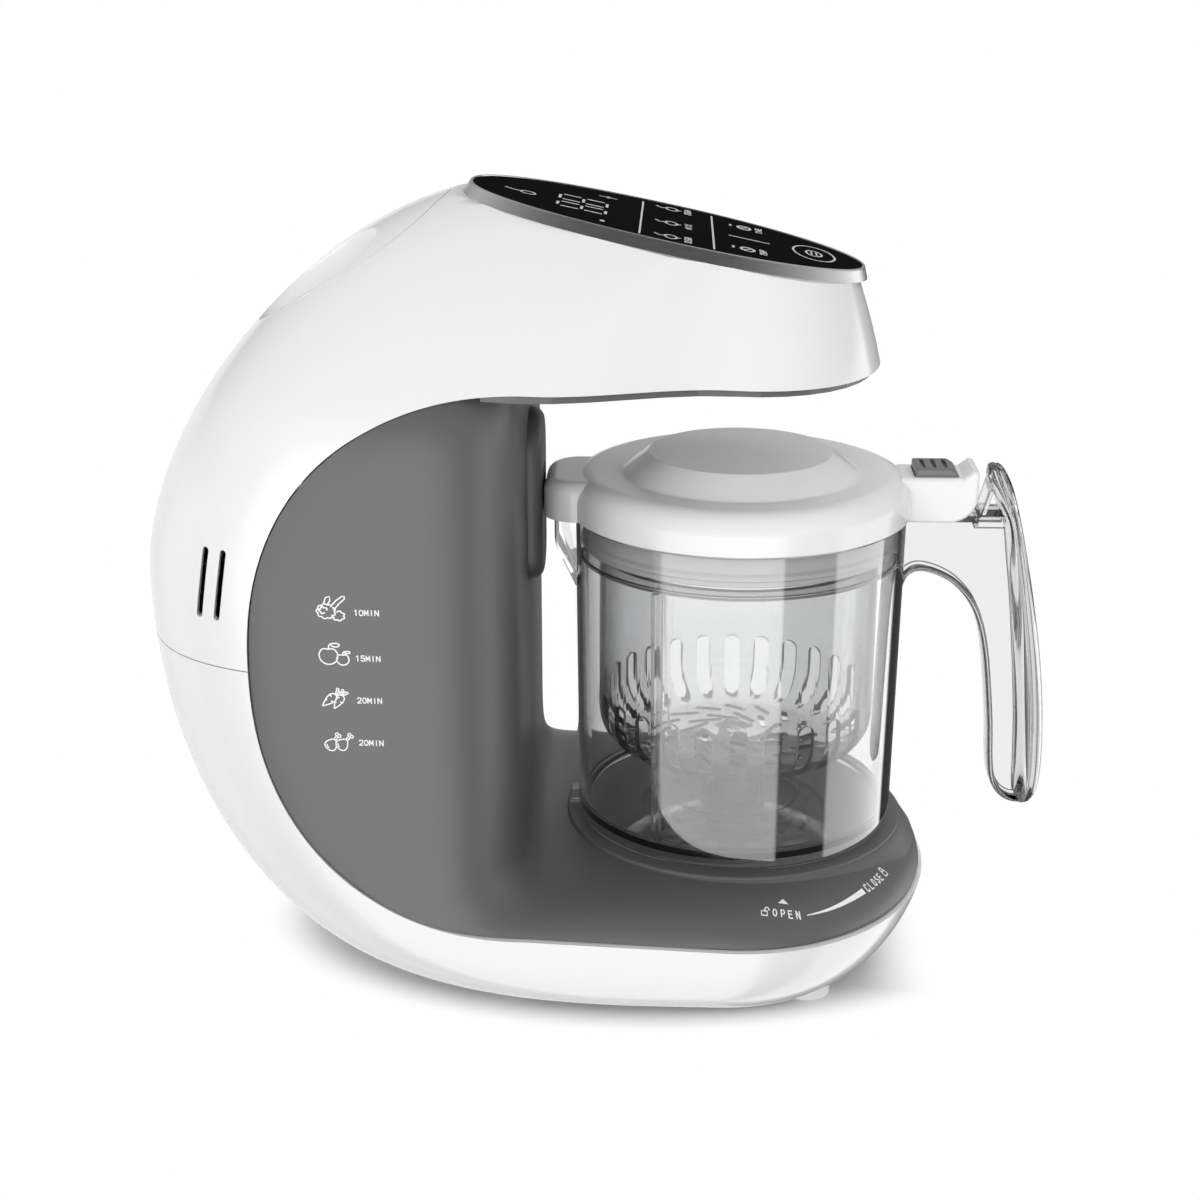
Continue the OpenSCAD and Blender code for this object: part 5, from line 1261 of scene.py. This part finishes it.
class STEAMER_OT_marks(bpy.types.Operator):
    """Print the signs on the side, the deck and the touch panel"""
    bl_idname = "steamer.marks"
    bl_label = "Printed signs"

    def execute(self, context):
        mesh = bpy.data.objects["inner_housing_grey"].data
        tree = BVHTree.FromPolygons([v.co for v in mesh.vertices], [p.vertices for p in mesh.polygons])
        side = self.laid(tree, self.side_signs(), lambda x, z: (x, -FAR, z), (0, 1, 0))
        self.printed(side, "side_signs", "print")
        deck = self.laid(tree, self.deck_signs(), lambda x, y: (x, y, DECK_OVER), (0, 0, -1))
        self.printed(deck, "deck_signs", "print")
        on_glass = ON_PANEL @ Matrix.Translation((0, 0, FILM - BODY.glass_drop))
        self.printed(turned(joined(self.panel_signs()), on_glass), "panel_signs", "panel_print")
        return {"FINISHED"}

    def printed(self, bm, name, look):
        bmesh.ops.recalc_face_normals(bm, faces=bm.faces[:])
        bmesh.ops.solidify(bm, geom=bm.faces[:], thickness=0.6 * FILM)
        piece(bm, name, "housing", "white_shell", look=look)

    def laid(self, tree, parts, start, way):
        """Lays flat signs on the grey housing along a direction."""
        bm = joined(parts)
        back = PLACE.inverted()
        for v in bm.verts:
            hit, normal, _, _ = tree.ray_cast(PLACE @ Vector(start(v.co.x, v.co.y)), Vector(way))
            if hit is None:
                raise RuntimeError("a sign lies beside the housing")
            v.co = back @ hit + FILM * normal
        return bm

    def side_signs(self):
        parts = []
        for drawing, x, z, label, label_z in SIDE_SIGNS:
            parts.append(placed(drawing(), (x, z, 0)))
            parts.append(placed(words(label, *SIDE_LABEL), (SIDE_LABEL_X, label_z, 0)))
        return parts

    def deck_signs(self):
        parts = [placed(words(text, *DECK_LETTER), (x, y, 0), angle) for text, x, y, angle in DECK_LETTERS]
        parts += [placed(padlock_sign(opened), (x, y, 0), angle) for opened, x, y, angle in PADLOCKS]
        a, b, c = (Vector(p) for p in SWEEP)
        sweep = [(1 - t) ** 2 * a + 2 * t * (1 - t) * b + t ** 2 * c for t in (k / 24 for k in range(25))]
        return parts + [spot(*ARROW), ribbon(sweep, SWEEP_WIDE, ends=(0.12, 1.0))]

    def panel_signs(self):
        parts = [ribbon(points, width) for width, points in PANEL_LINES]
        parts += [ribbon(oval(*ring), width, True) for width, ring in PANEL_RINGS]
        parts += [spot(*place) for place in PANEL_SPOTS]
        for left, right in DIGITS:
            parts += [ribbon([(x, left + 1.6), (x, right - 1.6)], 0.9) for x in DIGIT_LEVELS]
            for x in DIGIT_SIDES:
                parts += [ribbon([(x, y), (x + 5.7, y)], 1.1) for y in (left, right)]
        for y in KEY_ROWS:
            parts += [ribbon(oval(-1.8, y, 1.9, 3.2), 0.7, True), ribbon([(0.2, y), (1.4, y)], 0.8),
                      ribbon([(-7, y + 1.5), (-5.4, y - 1), (-3.7, y + 0.6)], 0.8)]
        for y in DIAL_ROWS:
            parts += [ribbon(oval(22.6, y, 2.1, 3.4), 0.9, True), ribbon([(21.4, y - 2), (23.8, y + 2)], 0.8),
                      ribbon([(18.0, y - 1.6), (18.0, y + 1.6)], 0.8)]
        return parts + [placed(words(text, *PANEL_LABEL), (x, y, 0), 90) for text, x, y in PANEL_LABELS]


class STEAMER_OT_inner_nodes(bpy.types.Operator):
    """Give every solid that still shows its finish"""
    bl_idname = "steamer.inner_nodes"
    bl_label = "Inner pieces"

    def execute(self, context):
        slots = {row["node"]: row["material_slot"] for row in frame["record"]["subparts"]}
        for name, obj in frame["nodes"].items():
            if not obj.hide_render:
                obj.data.materials.clear()
                obj.data.materials.append(finish(slots[name]))
        return {"FINISHED"}


# Studio: tones by the angle round the object, with 0 towards the camera and 90 to its right.
AMBIENT, GLOSS_LEVEL, PANEL_EDGE = 0.55, 2.4, (0.03, 0.1)
THROUGH_HIGH, WHITE = (0.1, 0.1, 0.1, 1), (1, 1, 1, 1)
GLOSS_LOW = ((-180, 0.42), (-126, 0.42), (-122, 0.5), (-91, 0.5), (-88, 0.25), (-57, 0.25), (-54, 1.25),
             (29, 1.25), (31, 0.05), (68, 0.05), (70, 1.0), (134, 1.0), (138, 0.02), (170, 0.02),
             (173, 0.42), (180, 0.42))
GLOSS_HIGH = ((-180, 0.16), (-150, 0.16), (-120, 0.3), (-60, 0.12), (-20, 0.04), (40, 0.04), (90, 0.3),
              (120, 0.3), (150, 0.16), (180, 0.16))
THROUGH = ((-180, 1.0), (-100, 0.9), (-80, 0.5), (0, 0.6), (90, 0.5), (120, 0.4), (136, 0.03), (164, 0.03),
           (168, 1.0), (180, 1.0))
# The floor's shade is kept near the base: scale and shift of the floor's coordinates, and where it fades.
SHADE_SCALE, SHADE_SHIFT = (8.35, 13.5, 0.0), (-0.09, 0.0, 0.0)
SHADE_SIDES, SHADE_FRONT = (0.89, 1.11), (0.085, 0.112)
# Lamps: name, place, the point they face, size and power.
LAMPS = (("key", (-0.55, -1.25, 0.5), (0, 0, 0.12), 1.2, 11.4),
         ("fill", (1.0, -1.1, 0.6), (0, 0, 0.12), 1.0, 5.3),
         ("top", (0.0, 0.3, 1.5), (0, 0, 0.1), 1.4, 1.0),
         ("rear", (0.35, 1.15, 0.6), (0.04, 0, 0.15), 1.0, 12.0))
CAMERA_AT, CAMERA_TURN, LENS, SENSOR, NEAREST = (0.0227, -0.660, 0.3464), (71, 0, 2.2), 61.5, 36, 0.01
FLOOR_SIZE = 6.0


class STEAMER_OT_stage(bpy.types.Operator):
    """Make the floor, the lights, the world and the camera"""
    bl_idname = "steamer.stage"
    bl_label = "Stage"

    def execute(self, context):
        scene = context.scene
        bm = bmesh.new()
        bmesh.ops.create_grid(bm, x_segments=1, y_segments=1, size=FLOOR_SIZE)
        floor = as_object(bm, "floor")
        floor.data.materials.append(self.floor_material())
        floor.visible_glossy = floor.visible_transmission = False
        for values in LAMPS:
            self.lamp(*values)
        self.world(scene)
        camera = bpy.data.objects.new("camera", bpy.data.cameras.new("camera"))
        scene.collection.objects.link(camera)
        camera.location = CAMERA_AT
        camera.rotation_euler = [math.radians(angle) for angle in CAMERA_TURN]
        camera.data.lens = LENS
        camera.data.sensor_width = SENSOR
        camera.data.clip_start = NEAREST
        scene.camera = camera
        scene.view_settings.view_transform = "Standard"
        return {"FINISHED"}

    def lamp(self, name, at, target, size, power):
        light = bpy.data.lights.new(name, "AREA")
        light.shape = "SQUARE"
        light.size = size
        light.energy = power
        obj = bpy.data.objects.new(name, light)
        bpy.context.scene.collection.objects.link(obj)
        obj.location = at
        obj.rotation_euler = (Vector(target) - Vector(at)).to_track_quat("-Z", "Y").to_euler()
        obj.visible_glossy = obj.visible_transmission = False

    def ranged(self, tree, value, limits, **kind):
        """Where a value lies between two limits, as a share."""
        inputs = {"Value": value, "From Min": limits[0], "From Max": limits[1]}
        return node(tree, "MapRange", inputs, **kind).outputs["Result"]

    def floor_material(self):
        """A pale floor that is shaded near the base and shows as white elsewhere."""
        material, tree, shader, out = moulded(
            "Pale floor", bpy.context.scene.steamer_finishes.floor, rough=0.8, spread=0.1, drift=0.0,
            bump=0.0, grain=40.0, **{"Specular IOR Level": 0.0})
        place = node(tree, "TexCoord").outputs["Object"]
        shift = {0: place, 1: SHADE_SCALE, 2: SHADE_SHIFT}
        centred = node(tree, "VectorMath", shift, operation="MULTIPLY_ADD").outputs[0]
        away = node(tree, "VectorMath", {0: centred}, operation="LENGTH").outputs["Value"]
        ahead = node(tree, "SeparateXYZ", {0: place}).outputs["X"]
        sides, front = (self.ranged(tree, value, limits, interpolation_type="SMOOTHSTEP")
                        for value, limits in ((away, SHADE_SIDES), (ahead, SHADE_FRONT)))
        seen = node(tree, "LightPath").outputs["Is Camera Ray"]
        bare = maths(tree, "MULTIPLY", seen, maths(tree, "MAXIMUM", sides, front))
        glow = node(tree, "Emission").outputs[0]
        tree.links.new(mixed(tree, bare, shader.outputs[0], glow), out.inputs["Surface"])
        return material

    def ramp(self, tree, source, stops):
        """Tones round the horizon, from behind the object round by its left, front and right."""
        made = node(tree, "ValToRGB", {"Fac": source})
        tones = made.color_ramp
        while len(tones.elements) > 1:
            tones.elements.remove(tones.elements[-1])
        for i, (angle, tone) in enumerate(stops):
            stop = tones.elements[0] if i == 0 else tones.elements.new((angle + 180) / 360)
            stop.position = (angle + 180) / 360
            stop.color = (tone, tone, tone, 1)
        return made.outputs["Color"]

    def world(self, scene):
        """White behind the object, with soft panels and darker gaps that gloss and clear plastic pick up."""
        world = bpy.data.worlds.new("Studio")
        scene.world = world
        world.use_nodes = True
        tree = world.node_tree
        tree.nodes.clear()
        axes = node(tree, "SeparateXYZ", {0: node(tree, "TexCoord").outputs["Generated"]}).outputs
        turn = maths(tree, "ARCTAN2", axes["X"], maths(tree, "MULTIPLY", axes["Y"], -1.0))
        share = maths(tree, "MULTIPLY_ADD", turn, 0.5 / math.pi, 0.5)
        lift = self.ranged(tree, axes["Z"], PANEL_EDGE)
        gloss = blended(tree, lift, self.ramp(tree, share, GLOSS_LOW), self.ramp(tree, share, GLOSS_HIGH))
        past = blended(tree, lift, self.ramp(tree, share, THROUGH), THROUGH_HIGH)
        path = node(tree, "LightPath").outputs
        shown = node(tree, "Background", {"Color": WHITE, "Strength": AMBIENT}).outputs[0]
        for ray, tone, strength in (("Is Glossy Ray", gloss, GLOSS_LEVEL), ("Is Transmission Ray", past, 1.0),
                                    ("Is Camera Ray", WHITE, 1.0)):
            light = node(tree, "Background", {"Color": tone, "Strength": strength}).outputs[0]
            shown = mixed(tree, path[ray], shown, light)
        node(tree, "OutputWorld", {"Surface": shown})


class STEAMER_PT_pieces(bpy.types.Panel):
    """List the pieces and the sizes"""
    bl_idname = "STEAMER_PT_pieces"
    bl_label = "Steamer blender"
    bl_space_type = "VIEW_3D"
    bl_region_type = "UI"
    bl_category = "Steamer"

    def draw(self, context):
        for operator in PIECES:
            self.layout.operator(operator.bl_idname)
        for group in GROUPS:
            values = getattr(context.scene, group)
            for name in values.bl_rna.properties.keys():
                if name not in ("rna_type", "name"):
                    self.layout.prop(values, name)


GROUPS = {"steamer_body": BodySizes, "steamer_jar": JarSizes, "steamer_lid": LidSizes,
          "steamer_finishes": Finishes}
PIECES = (STEAMER_OT_shells, STEAMER_OT_housing, STEAMER_OT_outlet, STEAMER_OT_panel, STEAMER_OT_marks,
          STEAMER_OT_jar, STEAMER_OT_basket, STEAMER_OT_lid, STEAMER_OT_inner_nodes, STEAMER_OT_stage)
CLASSES = (*GROUPS.values(), *PIECES, STEAMER_PT_pieces)


def register():
    for made in CLASSES:
        bpy.utils.register_class(made)
    for name, kind in GROUPS.items():
        setattr(bpy.types.Scene, name, PointerProperty(type=kind))


def unregister():
    for name in GROUPS:
        delattr(bpy.types.Scene, name)
    for made in reversed(CLASSES):
        bpy.utils.unregister_class(made)


def main():
    register()
    bpy.ops.steamer.shells()
    bpy.ops.steamer.housing()
    bpy.ops.steamer.outlet()
    bpy.ops.steamer.panel()
    bpy.ops.steamer.marks()
    bpy.ops.steamer.jar()
    bpy.ops.steamer.basket()
    bpy.ops.steamer.lid()
    bpy.ops.steamer.inner_nodes()
    bpy.ops.steamer.stage()


if __name__ == "__main__":
    main()
